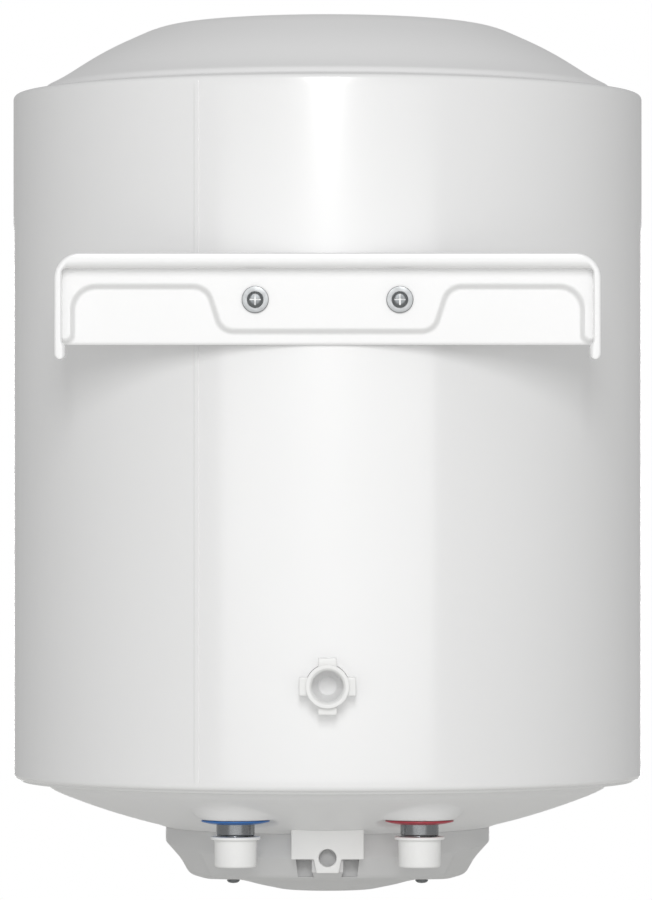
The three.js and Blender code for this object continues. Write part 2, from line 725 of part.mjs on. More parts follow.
// The needle points to the low end of the scale, down and to the left as the dial is read.
function thermometerNeedle() {
  const pointer = block([-0.7, 0.7], [-3, 13], [169, 169.8]);
  const hub = disc(2, 168.5, 171, HOLE_SEGMENTS);
  const needle = geometryOf(joined(hub, pointer)).rotateZ(THREE.MathUtils.degToRad(120));
  return towardsFront(needle, 0, THERMOMETER_HEIGHT);
}

function thermometerLens() {
  return towardsFront(disc(18, 181.5, 183), 0, THERMOMETER_HEIGHT);
}

// ---- Assembly, about the body's axis ---------------------------------------------------------
const heater = new THREE.Group();
const body = new THREE.Group();
body.position.y = -WALL_REACH;
heater.add(body);

body.add(
  mesh('outer_jacket', outerJacket(), enamel),
  mesh('top_cap', topCap(), enamel),
  mesh('top_plug', topPlug(), whitePlastic),
  mesh('bottom_cap', bottomCap(), enamel),
  mesh('insulation_foam', insulationFoam(), yellowFoam),
  mesh('inner_tank', innerTank(), glassLinedSteel),
  mesh('tank_flange_ring', tankFlangeRing(), plainSteel),
  mesh('flange_gasket', flangeGasket(), rubber),
  mesh('flange_plate', flangePlate(), zincSteel),
  mesh('heating_element', heatingElement(), copper),
  mesh('thermowell', thermowell(), copper),
  mesh('anode_rod', anodeRod(), magnesium),
  mesh('hanging_bracket', hangingBracket(), enamel),
  mesh('standoff_socket', standoffSocket(), greyPlastic),
  mesh('standoff_collar', standoffCollar(), whitePlastic),
  mesh('standoff_pad', standoffPad(), whitePlastic),
  mesh('service_cover', serviceCover(), greyPlastic),
  mesh('cable_entry_plate', cableEntryPlate(), whitePlastic),
  mesh('thermostat_body', thermostatBody(), blackPlastic),
  mesh('thermostat_shaft', thermostatShaft(), whitePlastic),
  mesh('thermostat_knob', thermostatKnob(), greyPlastic),
  mesh('safety_cutout', safetyCutout(), blackPlastic),
  mesh('reset_button', resetButton(), redPlastic),
  mesh('terminal_block', terminalBlock(), whitePlastic),
  mesh('pilot_lamp_body', pilotLampBody(), blackPlastic),
  mesh('pilot_lamp_lens', pilotLampLens(), amberGlass),
  mesh('thermometer_housing', thermometerHousing(), greyPlastic),
  mesh('thermometer_stem', thermometerStem(), copper),
  mesh('thermometer_dial', thermometerDial(), whitePlastic),
  mesh('thermometer_needle', thermometerNeedle(), redPlastic),
  mesh('thermometer_lens', thermometerLens(), clearGlass),
);

for (const [side, name] of [[-1, 'right'], [1, 'left']]) {
  body.add(
    mesh(`bracket_boss_${name}`, bracketBoss(side), zincSteel),
    mesh(`bracket_washer_${name}`, bracketWasher(side), zincSteel),
    mesh(`bracket_screw_${name}`, bracketScrew(side), zincSteel),
    mesh(`cover_screw_${name}`, coverScrew().translate(side * COVER_SCREW_X, 0, 0), zincSteel),
  );
}

for (let i = 0; i < 5; i += 1) {
  const nut = mesh(`flange_nut_${i + 1}`, flangeNut(), zincSteel);
  const angle = THREE.MathUtils.degToRad(90 + 72 * i);
  nut.position.set(FLANGE.bolts * Math.cos(angle), FLANGE.bolts * Math.sin(angle), 0);
  body.add(nut);
}

// Cold comes in under +X and hot leaves under -X.
for (const [side, name, ringColour] of [[1, 'cold', bluePlastic], [-1, 'hot', redPlastic]]) {
  const pipe = new THREE.Group();
  pipe.position.set((side * PIPE_SPACING) / 2, PIPE_REACH, 0);
  pipe.add(
    mesh(`${name}_nipple`, tube(PIPE_RADIUS, PIPE_BORE, NIPPLE.bottom, NIPPLE.top), zincSteel),
    mesh(`${name}_rosette`, rosette(), ringColour),
    mesh(`${name}_transit_cap`, transitCap(), whitePlastic),
  );
  if (name === 'cold') pipe.add(mesh('inlet_diffuser', inletDiffuser(), whitePlastic));
  else pipe.add(mesh('hot_water_pipe', hotWaterPipe(), plainSteel));
  body.add(pipe);
}

// The mains wires, from the terminal block into the service opening.
const wireRoutes = {
  live_wire: [[9, 55.5, -328], [9, 46, -327.6], [8, 30, -321], [6, 20, -316], [6, 12.5, -315]],
  neutral_wire: [[0, 55.5, -328], [-1, 46, -327.6], [-4, 30, -321], [-6, 20, -316], [-6, 12.5, -315]],
  earth_wire: [[-9, 55.5, -328], [-12, 46, -327.4], [-15, 34, -316], [-15, 26, -301], [-14, 24, -290.6]],
};
body.add(
  mesh('live_wire', wire(wireRoutes.live_wire, 1.2, 16), brownWire),
  mesh('neutral_wire', wire(wireRoutes.neutral_wire, 1.2, 16), blueWire),
  mesh('earth_wire', wire(wireRoutes.earth_wire, 1.2, 20), greenWire),
);

export default heater;
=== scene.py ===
"""A wall-hung electric tank water heater, seen from the side that hangs on the wall."""

import bmesh
import bpy
import numpy as np
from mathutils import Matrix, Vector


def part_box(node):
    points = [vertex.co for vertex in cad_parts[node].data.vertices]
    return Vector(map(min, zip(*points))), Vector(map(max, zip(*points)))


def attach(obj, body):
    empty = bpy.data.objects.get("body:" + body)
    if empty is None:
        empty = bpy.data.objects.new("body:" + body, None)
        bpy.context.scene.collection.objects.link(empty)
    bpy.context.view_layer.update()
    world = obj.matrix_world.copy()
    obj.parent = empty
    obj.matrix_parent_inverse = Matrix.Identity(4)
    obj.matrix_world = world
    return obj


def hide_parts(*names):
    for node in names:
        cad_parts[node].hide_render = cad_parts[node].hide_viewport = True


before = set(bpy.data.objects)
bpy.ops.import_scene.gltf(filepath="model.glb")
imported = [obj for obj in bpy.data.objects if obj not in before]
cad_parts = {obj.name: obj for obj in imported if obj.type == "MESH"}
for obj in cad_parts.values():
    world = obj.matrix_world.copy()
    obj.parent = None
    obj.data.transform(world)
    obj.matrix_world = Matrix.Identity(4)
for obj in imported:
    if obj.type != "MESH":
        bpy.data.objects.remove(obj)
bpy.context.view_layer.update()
MM = 0.001

# ---- Camera, light and floor -----------------------------------------------------------------
# A level camera looks at the wall side of the heater. A key lamp above it and a wide low strip
# lamp light that side, and two soft lamps light the front, over a plain pale floor.
jacket_low, jacket_high = np.array(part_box("outer_jacket"))
BODY_RADIUS = (jacket_high[0] - jacket_low[0]) / 2
AXIS_Y = (jacket_high[1] + jacket_low[1]) / 2
EYE_DISTANCE = 3.33
EYE_HEIGHT = -0.1374
camera_data = bpy.data.cameras.new("studio_camera")
camera_data.lens = 236.64
camera_data.sensor_width = 36
camera_data.shift_x = -0.0017
camera_data.shift_y = 0.0767
camera = bpy.data.objects.new("studio_camera", camera_data)
camera.location = (0, AXIS_Y + EYE_DISTANCE, EYE_HEIGHT)
camera.rotation_euler = (np.pi / 2, 0, np.pi)
bpy.context.scene.collection.objects.link(camera)
bpy.context.scene.camera = camera
bpy.context.scene.view_settings.view_transform = "Standard"


def linear(colour):
    """A colour written as an sRGB hex string, as linear red, green, blue and alpha."""
    parts = np.array([int(colour[i:i + 2], 16) for i in (1, 3, 5)]) / 255
    low, high = parts / 12.92, ((parts + 0.055) / 1.055) ** 2.4
    return (*np.where(parts <= 0.04045, low, high), 1.0)


def add_node(tree, kind, inputs=None, **settings):
    """Adds a node with its settings. An input is a number, a colour or another node's output."""
    node = tree.nodes.new(kind)
    for name, value in settings.items():
        setattr(node, name, value)
    for name, value in (inputs or {}).items():
        if isinstance(value, bpy.types.NodeSocket):
            tree.links.new(value, node.inputs[name])
        else:
            node.inputs[name].default_value = value
    return node


def soft_lamp(name, elevation, azimuth, distance, size, power):
    """A flat lamp that faces the heater's middle, from an elevation and azimuth in degrees. Its
    size is its width and its height in metres."""
    up, round_axis = np.radians([elevation, azimuth])
    data = bpy.data.lights.new(name, "AREA")
    data.shape = "RECTANGLE"
    data.size, data.size_y = size
    data.energy = power
    lamp = bpy.data.objects.new(name, data)
    lamp.location = (-distance * np.cos(up) * np.sin(round_axis),
                     AXIS_Y + distance * np.cos(up) * np.cos(round_axis),
                     EYE_HEIGHT + distance * np.sin(up))
    lamp.rotation_euler = (np.pi / 2 - up, 0, np.pi + round_axis)
    bpy.context.scene.collection.objects.link(lamp)
    return lamp


soft_lamp("key_lamp", 21, 0, 2.9, (0.5, 1.1), 26)
soft_lamp("strip_lamp", 0.7, 0, 3.6, (5.6, 0.75), 17.5)
soft_lamp("far_side_lamp", 25, 180, 3.0, (1.2, 1.2), 14).visible_glossy = False
soft_lamp("front_lamp", -2, 180, 3.4, (1.6, 0.9), 16)

world = bpy.data.worlds.new("pale_studio")
bpy.context.scene.world = world
world.use_nodes = True
sky = world.node_tree
sky.nodes.clear()
rays = add_node(sky, "ShaderNodeLightPath")
seen = add_node(sky, "ShaderNodeBackground", {"Color": (1, 1, 1, 1), "Strength": 1.0})
cast = add_node(sky, "ShaderNodeBackground", {"Color": (1, 1, 1, 1), "Strength": 0.46})
both = add_node(sky, "ShaderNodeMixShader", {0: rays.outputs["Is Camera Ray"]})
sky.links.new(cast.outputs[0], both.inputs[1])
sky.links.new(seen.outputs[0], both.inputs[2])
add_node(sky, "ShaderNodeOutputWorld", {"Surface": both.outputs[0]})


def skin(name, points, wrap_rows=False, wrap_columns=True):
    """A mesh from a grid of points: each cell between neighbouring rows and columns is one face.
    Points that fall together, as at a pole, are merged, and the faces are turned outwards."""
    rows, columns = points.shape[:2]
    index = np.arange(rows * columns).reshape(rows, columns)
    if wrap_rows:
        index = np.vstack([index, index[:1]])
    if wrap_columns:
        index = np.hstack([index, index[:, :1]])
    quads = np.stack([index[:-1, :-1], index[:-1, 1:], index[1:, 1:], index[1:, :-1]], axis=-1)
    mesh = bpy.data.meshes.new(name)
    mesh.from_pydata(points.reshape(-1, 3), [], quads.reshape(-1, 4))
    return tidy_piece(name, mesh)


def tidy_piece(name, mesh, sharp_degrees=32):
    """Merges doubles, turns the faces outwards, shades smooth with sharp edges kept, and makes
    the piece's object at the origin."""
    work = bmesh.new()
    work.from_mesh(mesh)
    bmesh.ops.remove_doubles(work, verts=work.verts, dist=2e-6)
    bmesh.ops.recalc_face_normals(work, faces=work.faces)
    work.to_mesh(mesh)
    work.free()
    mesh.shade_smooth()
    mesh.set_sharp_from_angle(angle=np.radians(sharp_degrees))
    piece = bpy.data.objects.new(name, mesh)
    bpy.context.scene.collection.objects.link(piece)
    return piece


FLOOR_DROP = 0.18
FLOOR_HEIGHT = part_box("thermostat_knob")[0][2] - FLOOR_DROP
floor_rings = np.array([0, 0.3, 0.9, 1.6, 2.4])
floor_turn = np.linspace(0, 2 * np.pi, 96, endpoint=False)
ring_radius, ring_angle = np.meshgrid(floor_rings, floor_turn, indexing="ij")
floor_x = ring_radius * np.cos(ring_angle)
floor_y = AXIS_Y + ring_radius * np.sin(ring_angle)
floor = skin("studio_floor", np.stack([floor_x, floor_y, np.full_like(floor_x, FLOOR_HEIGHT)], axis=-1))
floor_paint = bpy.data.materials.new("pale_studio_paint")
floor_paint.use_nodes = True
floor_paint.node_tree.nodes["Principled BSDF"].inputs["Base Color"].default_value = linear("#e9e9e7")
floor_paint.node_tree.nodes["Principled BSDF"].inputs["Roughness"].default_value = 0.85
# The floor is clear from below, so that the heater's underside can be looked at.
paint = floor_paint.node_tree
towards_eye = add_node(paint, "ShaderNodeNewGeometry").outputs["Incoming"]
eye_side = add_node(paint, "ShaderNodeSeparateXYZ", {"Vector": towards_eye}).outputs["Z"]
below = add_node(paint, "ShaderNodeMath", {0: eye_side, 1: 0.0}, operation="LESS_THAN")
clear = add_node(paint, "ShaderNodeBsdfTransparent")
by_side = add_node(paint, "ShaderNodeMixShader", {0: below.outputs[0]})
paint.links.new(paint.nodes["Principled BSDF"].outputs[0], by_side.inputs[1])
paint.links.new(clear.outputs[0], by_side.inputs[2])
paint.links.new(by_side.outputs[0], paint.nodes["Material Output"].inputs["Surface"])
floor.data.materials.append(floor_paint)

# ---- Outer jacket ----------------------------------------------------------------------------
# A sheet of 0.5 mm steel rolled into a drum and coated in white enamel. Its long edges meet in a
# narrow flattened seam on the wall side, and both ends are rolled inwards over the caps.
JACKET_WALL = 0.8 * MM
JACKET_ROLL = 3 * MM


def enamel(name, colour, roughness, coat):
    """Stoved enamel on sheet steel: a hard glossy coat with a faint orange peel of about 3 mm,
    which softens the edges of reflections, and slightly uneven gloss. The weight of its clear coat
    is 1 at full gloss."""
    material = bpy.data.materials.new(name)
    material.use_nodes = True
    tree = material.node_tree
    shader = tree.nodes["Principled BSDF"]
    place = add_node(tree, "ShaderNodeTexCoord").outputs["Object"]
    peel = add_node(tree, "ShaderNodeTexNoise", {"Vector": place, "Scale": 330.0, "Detail": 1.0})
    cloud = add_node(tree, "ShaderNodeTexNoise", {"Vector": place, "Scale": 14.0, "Detail": 3.0})
    gloss = add_node(tree, "ShaderNodeMapRange", {
        "Value": cloud.outputs["Fac"], "From Min": 0.3, "From Max": 0.7,
        "To Min": roughness - 0.03, "To Max": roughness + 0.03})
    tone = add_node(tree, "ShaderNodeMix", {"Factor": cloud.outputs["Fac"]}, data_type="RGBA")
    tone.inputs["A"].default_value = linear(colour)
    tone.inputs["B"].default_value = tuple(0.975 * part for part in linear(colour)[:3]) + (1.0,)
    bump = add_node(tree, "ShaderNodeBump", {"Height": peel.outputs["Fac"], "Strength": 0.12,
                                             "Distance": 0.05 * MM})
    tree.links.new(tone.outputs["Result"], shader.inputs["Base Color"])
    tree.links.new(gloss.outputs["Result"], shader.inputs["Roughness"])
    tree.links.new(bump.outputs["Normal"], shader.inputs["Normal"])
    shader.inputs["IOR"].default_value = 1.5
    shader.inputs["Coat Weight"].default_value = coat
    shader.inputs["Coat IOR"].default_value = 1.7
    shader.inputs["Coat Roughness"].default_value = 0.15
    return material


def rounded(corners, fillets, steps=6):
    """An outline from its corners, each cut back by its fillet and rounded by a parabola that
    leaves one side and meets the next. The corners are the second last axis of the array."""
    corners = np.asarray(corners, float)
    before, after = np.roll(corners, 1, axis=-2), np.roll(corners, -1, axis=-2)
    to_before, to_after = before - corners, after - corners
    to_before /= np.maximum(np.linalg.norm(to_before, axis=-1, keepdims=True), 1e-12)
    to_after /= np.maximum(np.linalg.norm(to_after, axis=-1, keepdims=True), 1e-12)
    cut_back = np.asarray(fillets, float)[:, None]
    start, end = corners + to_before * cut_back, corners + to_after * cut_back
    share = np.linspace(0, 1, steps)[:, None]
    start, corners, end = (part[..., :, None, :] for part in (start, corners, end))
    arc = (1 - share) ** 2 * start + 2 * share * (1 - share) * corners + share ** 2 * end
    return arc.reshape(*arc.shape[:-3], -1, 2)


def revolve(outline, angles, centre, towards="up"):
    """Points of an outline (radius, height) carried round an axis that points up, to the wall or
    to the front, in metres. The outline may differ at each angle."""
    outline = np.broadcast_to(outline, (len(angles), *outline.shape[-2:]))
    radius, height = outline[..., 0], outline[..., 1]
    across, over = radius * np.sin(angles)[:, None], radius * np.cos(angles)[:, None]
    x, y, z = centre
    if towards == "up":
        return np.stack([x + across, y + over, z + height], axis=-1)
    side = 1 if towards == "wall" else -1
    return np.stack([x + across, y + side * height, z + over], axis=-1)


def whole_turn(count):
    """Evenly spaced angles round a full circle, in radians."""
    return np.linspace(0, 2 * np.pi, count, endpoint=False)


def turned(name, corners, fillets, centre, towards="up", count=96, steps=6):
    """A closed turned piece, from the corners of its section in millimetres."""
    outline = rounded(np.array(corners) * MM, np.array(fillets) * MM, steps)
    outline[:, 0] = np.maximum(outline[:, 0], 0)
    return skin(name, revolve(outline, whole_turn(count), centre, towards), wrap_rows=True)


def drill(name, radius, low, high, centre, towards="up", count=96):
    """A plain cylinder between two heights along its axis, to cut with."""
    return turned(name, [[0, low], [radius, low], [radius, high], [0, high]], [0] * 4, centre, towards, count)


def carve(piece, tool, operation="DIFFERENCE"):
    """Cuts the tool out of the piece, or joins it on, and removes the tool. A tool with a finish
    leaves it on the faces it cuts."""
    change = piece.modifiers.new("carve", "BOOLEAN")
    change.object = tool
    change.operation = operation
    change.solver = "EXACT"
    change.material_mode = "TRANSFER" if tool.data.materials else "INDEX"
    bpy.context.view_layer.update()
    made = bpy.data.meshes.new_from_object(piece.evaluated_get(bpy.context.evaluated_depsgraph_get()))
    piece.modifiers.clear()
    piece.data = made
    bpy.data.objects.remove(tool)
    made.shade_smooth()
    made.set_sharp_from_angle(angle=np.radians(32))
    return piece


body_centre = (0, AXIS_Y, 0)
low, high = jacket_low[2], jacket_high[2]
SEAM_X = 70.5 * MM
SEAM_WIDTH = 2.9 * MM
SEAM_RISE = 0.3 * MM
seam_angle = np.arcsin(SEAM_X / BODY_RADIUS)
fine = seam_angle + np.linspace(-3, 3, 49) * SEAM_WIDTH / BODY_RADIUS / 2
jacket_angles = np.unique(np.concatenate([whole_turn(288), fine]))
from_seam = (jacket_angles - seam_angle) * BODY_RADIUS
steep_side = np.clip((from_seam + SEAM_WIDTH / 2) / (0.15 * MM), 0, 1)
gentle_side = np.clip((SEAM_WIDTH / 2 - from_seam) / MM, 0, 1)
ridge = steep_side * gentle_side
groove = np.clip(1 - np.abs(from_seam + SEAM_WIDTH / 2 + 0.2 * MM) / (0.3 * MM), 0, 1)
straight = np.linspace(low + 2 * JACKET_ROLL, high - 2 * JACKET_ROLL, 60)
lip = BODY_RADIUS - JACKET_ROLL
inner = BODY_RADIUS - JACKET_WALL
bend = np.linspace(0, np.pi / 2, 8)
outer_side = np.concatenate([
    np.stack([lip + JACKET_ROLL * np.sin(bend), low + JACKET_ROLL * (1 - np.cos(bend))], axis=-1),
    np.stack([np.full_like(straight, BODY_RADIUS), straight], axis=-1),
    np.stack([lip + JACKET_ROLL * np.cos(bend), high - JACKET_ROLL * (1 - np.sin(bend))], axis=-1)])
inner_bend = inner - 1.2 * MM
inner_side = np.array([
    [lip, high - JACKET_WALL], [inner_bend, high - JACKET_WALL], [inner, high - JACKET_ROLL],
    [inner, low + JACKET_ROLL], [inner_bend, low + JACKET_WALL], [lip, low + JACKET_WALL]])
section = np.tile(np.concatenate([outer_side, inner_side]), (len(jacket_angles), 1, 1))
upright = slice(len(bend), len(bend) + len(straight))
section[:, upright, 0] += (SEAM_RISE * (ridge - groove))[:, None]
jacket = skin("jacket_skin", revolve(section, jacket_angles, body_centre), wrap_rows=True)
standoff_low, standoff_high = np.array(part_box("standoff_collar"))
standoff_z = (standoff_low[2] + standoff_high[2]) / 2
dial_low, dial_high = np.array(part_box("thermometer_housing"))
dial_z = (dial_low[2] + dial_high[2]) / 2
carve(jacket, drill("standoff_hole", 11.75, 150, 200, (0, AXIS_Y, standoff_z), "wall"))
carve(jacket, drill("dial_hole", 19.4, 150, 200, (0, AXIS_Y, dial_z), "front"))
white_enamel = enamel("white_stoved_enamel", "#f3f3f3", 0.35, 1.0)
jacket.data.materials.append(white_enamel)
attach(jacket, "root")
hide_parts("outer_jacket")

# ---- Top cap ---------------------------------------------------------------------------------
# A domed steel pressing in a slightly greyer enamel. That greyness is partly the cap's own tone and
# partly painted shade that darkens the dome. Its skirt slips inside the jacket's rolled end, and a
# narrow flat shoulder and a low step lead to the cone and the shallow crown.
# Part of this enamel's greyness is painted shade, which darkens the caps' dome and cone.
cap_enamel = enamel("pale_grey_enamel", "#f0f0f0", 0.45, 0.15)
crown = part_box("top_cap")[1][2] / MM
cap_rim = 173.2
top_outside = [[cap_rim, 88], [cap_rim, 100], [160, 102.2], [158.2, 105.2], [150, 109.2], [126, 124.6],
               [95, 138.6], [76, 140.3], [0, crown]]
top_fillets = [0.3, 0.8, 1.2, 1.6, 6, 14, 10, 8, 0]
top_inside = [[0, crown - 1.2], [76, 139.1], [94.5, 137.4], [125, 123.6], [149, 108.2], [157, 104.2],
              [158.8, 101.1], [cap_rim - 1.2, 99], [cap_rim - 1.2, 88]]
inside_fillets = [0, 8, 10, 14, 6, 1.2, 1, 0.6, 0.3]
top_cap = turned("top_cap_pressing", top_outside + top_inside, top_fillets + inside_fillets, body_centre,
                 count=288, steps=10)
top_cap.data.materials.append(cap_enamel)
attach(top_cap, "root")
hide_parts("top_cap")

# ---- Top plug --------------------------------------------------------------------------------
# A snap-in plug of white polypropylene, which closes the hole that the foam was poured through.


def moulded_plastic(name, colour, roughness, grain_mm, grain_depth=0.02):
    """Injection-moulded plastic: a satin surface with the fine spark-eroded grain of its mould,
    and a faint cloudiness in its colour."""
    material = bpy.data.materials.new(name)
    material.use_nodes = True
    tree = material.node_tree
    shader = tree.nodes["Principled BSDF"]
    place = add_node(tree, "ShaderNodeTexCoord").outputs["Object"]
    grain = add_node(tree, "ShaderNodeTexNoise", {
        "Vector": place, "Scale": 1 / (grain_mm * MM), "Detail": 2.0})
    cloud = add_node(tree, "ShaderNodeTexNoise", {"Vector": place, "Scale": 40.0, "Detail": 2.0})
    gloss = add_node(tree, "ShaderNodeMapRange", {
        "Value": grain.outputs["Fac"], "From Min": 0.3, "From Max": 0.7,
        "To Min": roughness - 0.04, "To Max": roughness + 0.04})
    tone = add_node(tree, "ShaderNodeMix", {"Factor": cloud.outputs["Fac"]}, data_type="RGBA")
    tone.inputs["A"].default_value = linear(colour)
    tone.inputs["B"].default_value = tuple(0.96 * part for part in linear(colour)[:3]) + (1.0,)
    bump = add_node(tree, "ShaderNodeBump", {"Height": grain.outputs["Fac"], "Strength": 0.25,
                                             "Distance": grain_depth * MM})
    tree.links.new(tone.outputs["Result"], shader.inputs["Base Color"])
    tree.links.new(gloss.outputs["Result"], shader.inputs["Roughness"])
    tree.links.new(bump.outputs["Normal"], shader.inputs["Normal"])
    shader.inputs["IOR"].default_value = 1.49
    return material


white_plastic = moulded_plastic("white_polypropylene", "#f4f4f3", 0.36, 0.6)
plug_seat = crown + 0.1
plug = turned("top_plug_moulding", [
    [0, crown - 5], [6.6, crown - 5], [6.6, plug_seat], [9, plug_seat], [9, plug_seat + 1.1],
    [0, plug_seat + 1.3]], [0, 0.4, 0.1, 0.2, 0.7, 0], body_centre)
plug.data.materials.append(white_plastic)
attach(plug, "root")
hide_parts("top_plug")

# ---- Bottom cap ------------------------------------------------------------------------------
# A steel pressing in the same greyer enamel, partly painted shade on its cone: a flat shoulder
# inside the jacket, then a shallow cone towards the service opening, with a flat round pad pressed
# where each pipe comes through.
CONE_EDGE = (150, -290.8)
CONE_SLOPE = 0.327
SERVICE_HOLE = 48.5
PIPE_AXES = [(side * 50 * MM, AXIS_Y + 115 * MM, 0) for side in (-1, 1)]
PAD_RADIUS, PAD_HEIGHT = 18.3, -300.7
PAD_BLEND = 6.0
COVER_SCREWS = [(side * 53 * MM, AXIS_Y, 0) for side in (-1, 1)]
SHEET = 1.2
beside_pads = np.radians(np.arange(-42, 42, 0.4)) % (2 * np.pi)
cap_angles = np.unique(np.concatenate([whole_turn(180), beside_pads]))


def smooth_step(value):
    """Rises from 0 to 1 as the value does, level at both ends: three squares less two cubes."""
    value = np.clip(value, 0, 1)
    return value * value * (3 - 2 * value)


def cone_height(radius):
    """The cone's height in millimetres: straight, with a slight crown halfway out."""
    bulge = 1.2 * np.clip(1 - ((np.asarray(radius) - 125) / 28) ** 2, 0, 1)
    return CONE_EDGE[1] - CONE_SLOPE * (CONE_EDGE[0] - radius) - bulge


cone_radii = np.concatenate([np.linspace(SERVICE_HOLE, 86, 8), np.linspace(87, 148, 62)])
shoulder = np.array([[148, cone_height(148)], [152.5, -289.9], [155.5, -288.2], [158.2, -285.4],
                     [171.5, -284.6], [cap_rim, -282.8], [cap_rim, -270]])
shoulder = rounded(shoulder, [0, 1.5, 1.2, 0.7, 0.7, 0.7, 0], 5)[5:]
cap_outside = np.vstack([np.stack([cone_radii, cone_height(cone_radii)], axis=-1), shoulder])
on_skirt, below_rim = cap_outside[:, 0] > cap_rim - 2, cap_outside[:, 1] < -271
cap_inside = cap_outside + SHEET * np.stack([-1.0 * on_skirt, 1.0 * below_rim], axis=-1)
cap_section = np.concatenate([cap_outside, cap_inside[::-1]])
cap_points = revolve(cap_section * MM, cap_angles, body_centre)
for place in PIPE_AXES:
    from_pipe = np.hypot(cap_points[..., 0] - place[0], cap_points[..., 1] - place[1]) / MM
    near_pad = smooth_step((PAD_RADIUS + PAD_BLEND - from_pipe) / PAD_BLEND)
    level = np.repeat([PAD_HEIGHT, PAD_HEIGHT + SHEET], len(cap_outside)) * MM
    cap_points[..., 2] += near_pad * (level - cap_points[..., 2])
bottom_cap = skin("bottom_cap_pressing", cap_points, wrap_rows=True)
for place in PIPE_AXES:
    carve(bottom_cap, drill("pipe_hole", 10.7, -345, -260, place))
for place in COVER_SCREWS:
    post = turned("cover_post", [[2.2, -337.6], [4, -337.6], [4, -296], [2.2, -296]],
                  [0, 0.3, 0.2, 0], place, count=32)
    carve(bottom_cap, post, "UNION")
bottom_cap.data.materials.append(cap_enamel)
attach(bottom_cap, "root")
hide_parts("bottom_cap")

# ---- Hanging bracket -------------------------------------------------------------------------
# A 1.8 mm steel pressing in white enamel. Its edge is folded towards the wall as one rim: a round
# nosed lip along the top, which hooks on the wall, and a flange with a lug down each side.
bracket_low, bracket_high = np.array(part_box("hanging_bracket")) / MM
BRACKET_HALF = bracket_high[0]
BRACKET_TOP = bracket_high[2]
BRACKET_BACK = bracket_low[1]
PLATE_FACE = BRACKET_BACK + 1.8
PRESSED_OUT = 2.5
PLATE_FOOT = -44.6
CORNER = 13.6
LIP_HEIGHT, FLANGE_WIDTH = 8.2, 4.1


def arc_points(centre, radius, start, end, count=12):
    """Points along an arc of a circle between two angles in degrees."""
    turn = np.radians(np.linspace(start, end, count))
    return np.stack([centre[0] + radius * np.cos(turn), centre[1] + radius * np.sin(turn)], axis=-1)


def both_sides(right):
    """A closed outline from its right half, which runs from the top middle to the bottom."""
    right = np.vstack([np.atleast_2d(part) for part in right])
    return np.vstack([right, right[::-1] * [-1, 1]])


def inside_distance(points, outline):
    """How far each point lies inside a closed outline, negative outside it: the distance to the
    nearest side, with its sign from how many sides a ray to the right crosses."""
    start, side = outline, np.roll(outline, -1, axis=0) - outline
    length = np.maximum((side ** 2).sum(axis=-1), 1e-12)
    away = points[:, None] - start
    along = np.clip((away * side).sum(axis=-1) / length, 0, 1)
    nearest = np.linalg.norm(away - along[..., None] * side, axis=-1).min(axis=1)
    end = start + side
    spans = (start[:, 1] > points[:, 1:]) != (end[:, 1] > points[:, 1:])
    rise = np.where(np.abs(side[:, 1]) < 1e-9, 1e-9, side[:, 1])
    crossing = start[:, 0] + (points[:, 1:] - start[:, 1]) * side[:, 0] / rise
    inside = (spans & (points[:, :1] < crossing)).sum(axis=1) % 2 == 1
    return np.where(inside, nearest, -nearest)


inner_edge = BRACKET_HALF - FLANGE_WIDTH
BAND_FOOT, PANEL_FOOT, PANEL_HALF, STRIP = -13.6, -37.5, 61.6, 5.4
pressing = both_sides([
    [[0, 4], [inner_edge + 3, 4]],
    arc_points((inner_edge - STRIP / 2 + 1.5, -38.9), STRIP / 2 + 1.5, 0, -180),
    arc_points((inner_edge - STRIP - 12.5, BAND_FOOT - 12.5), 12.5, 0, 90),
    arc_points((PANEL_HALF + 10, BAND_FOOT - 10), 10, 90, 165),
    arc_points((PANEL_HALF - 11.5, PANEL_FOOT + 9), 9, -15, -90),
    [[0, PANEL_FOOT]],
])
across, down = np.meshgrid(np.linspace(-1, 1, 421), np.linspace(0, PLATE_FOOT, 76))
above_corner = np.maximum(down - (BRACKET_TOP - CORNER), 0)
reach = inner_edge + 2 - 0.35 * above_corner
plate_points = np.stack([across * reach, down], axis=-1)
depth_in = inside_distance(plate_points.reshape(-1, 2), pressing).reshape(across.shape)
raised = PRESSED_OUT * smooth_step((depth_in + 1.5) / 3.0)
edge_round = 0.5 * smooth_step(1 - (down - PLATE_FOOT) / 0.8)
face = np.stack([plate_points[..., 0], PLATE_FACE + raised - edge_round, down], axis=-1)
back = np.stack([plate_points[..., 0], BRACKET_BACK + raised * (down < 0), down], axis=-1)
plate = skin("bracket_plate", np.concatenate([face, back[::-1]]) * MM, wrap_rows=True, wrap_columns=False)
ends = bmesh.new()
ends.from_mesh(plate.data)
bmesh.ops.holes_fill(ends, edges=[edge for edge in ends.edges if edge.is_boundary], sides=0)
bmesh.ops.recalc_face_normals(ends, faces=ends.faces)
ends.to_mesh(plate.data)
ends.free()
BRACKET_SCREWS = [(side * 38.5 * MM, 0, -20.6 * MM) for side in (-1, 1)]
for x, y, z in BRACKET_SCREWS:
    carve(plate, drill("screw_hole", 3, -20, 0, (x, y, z), "wall", count=32))

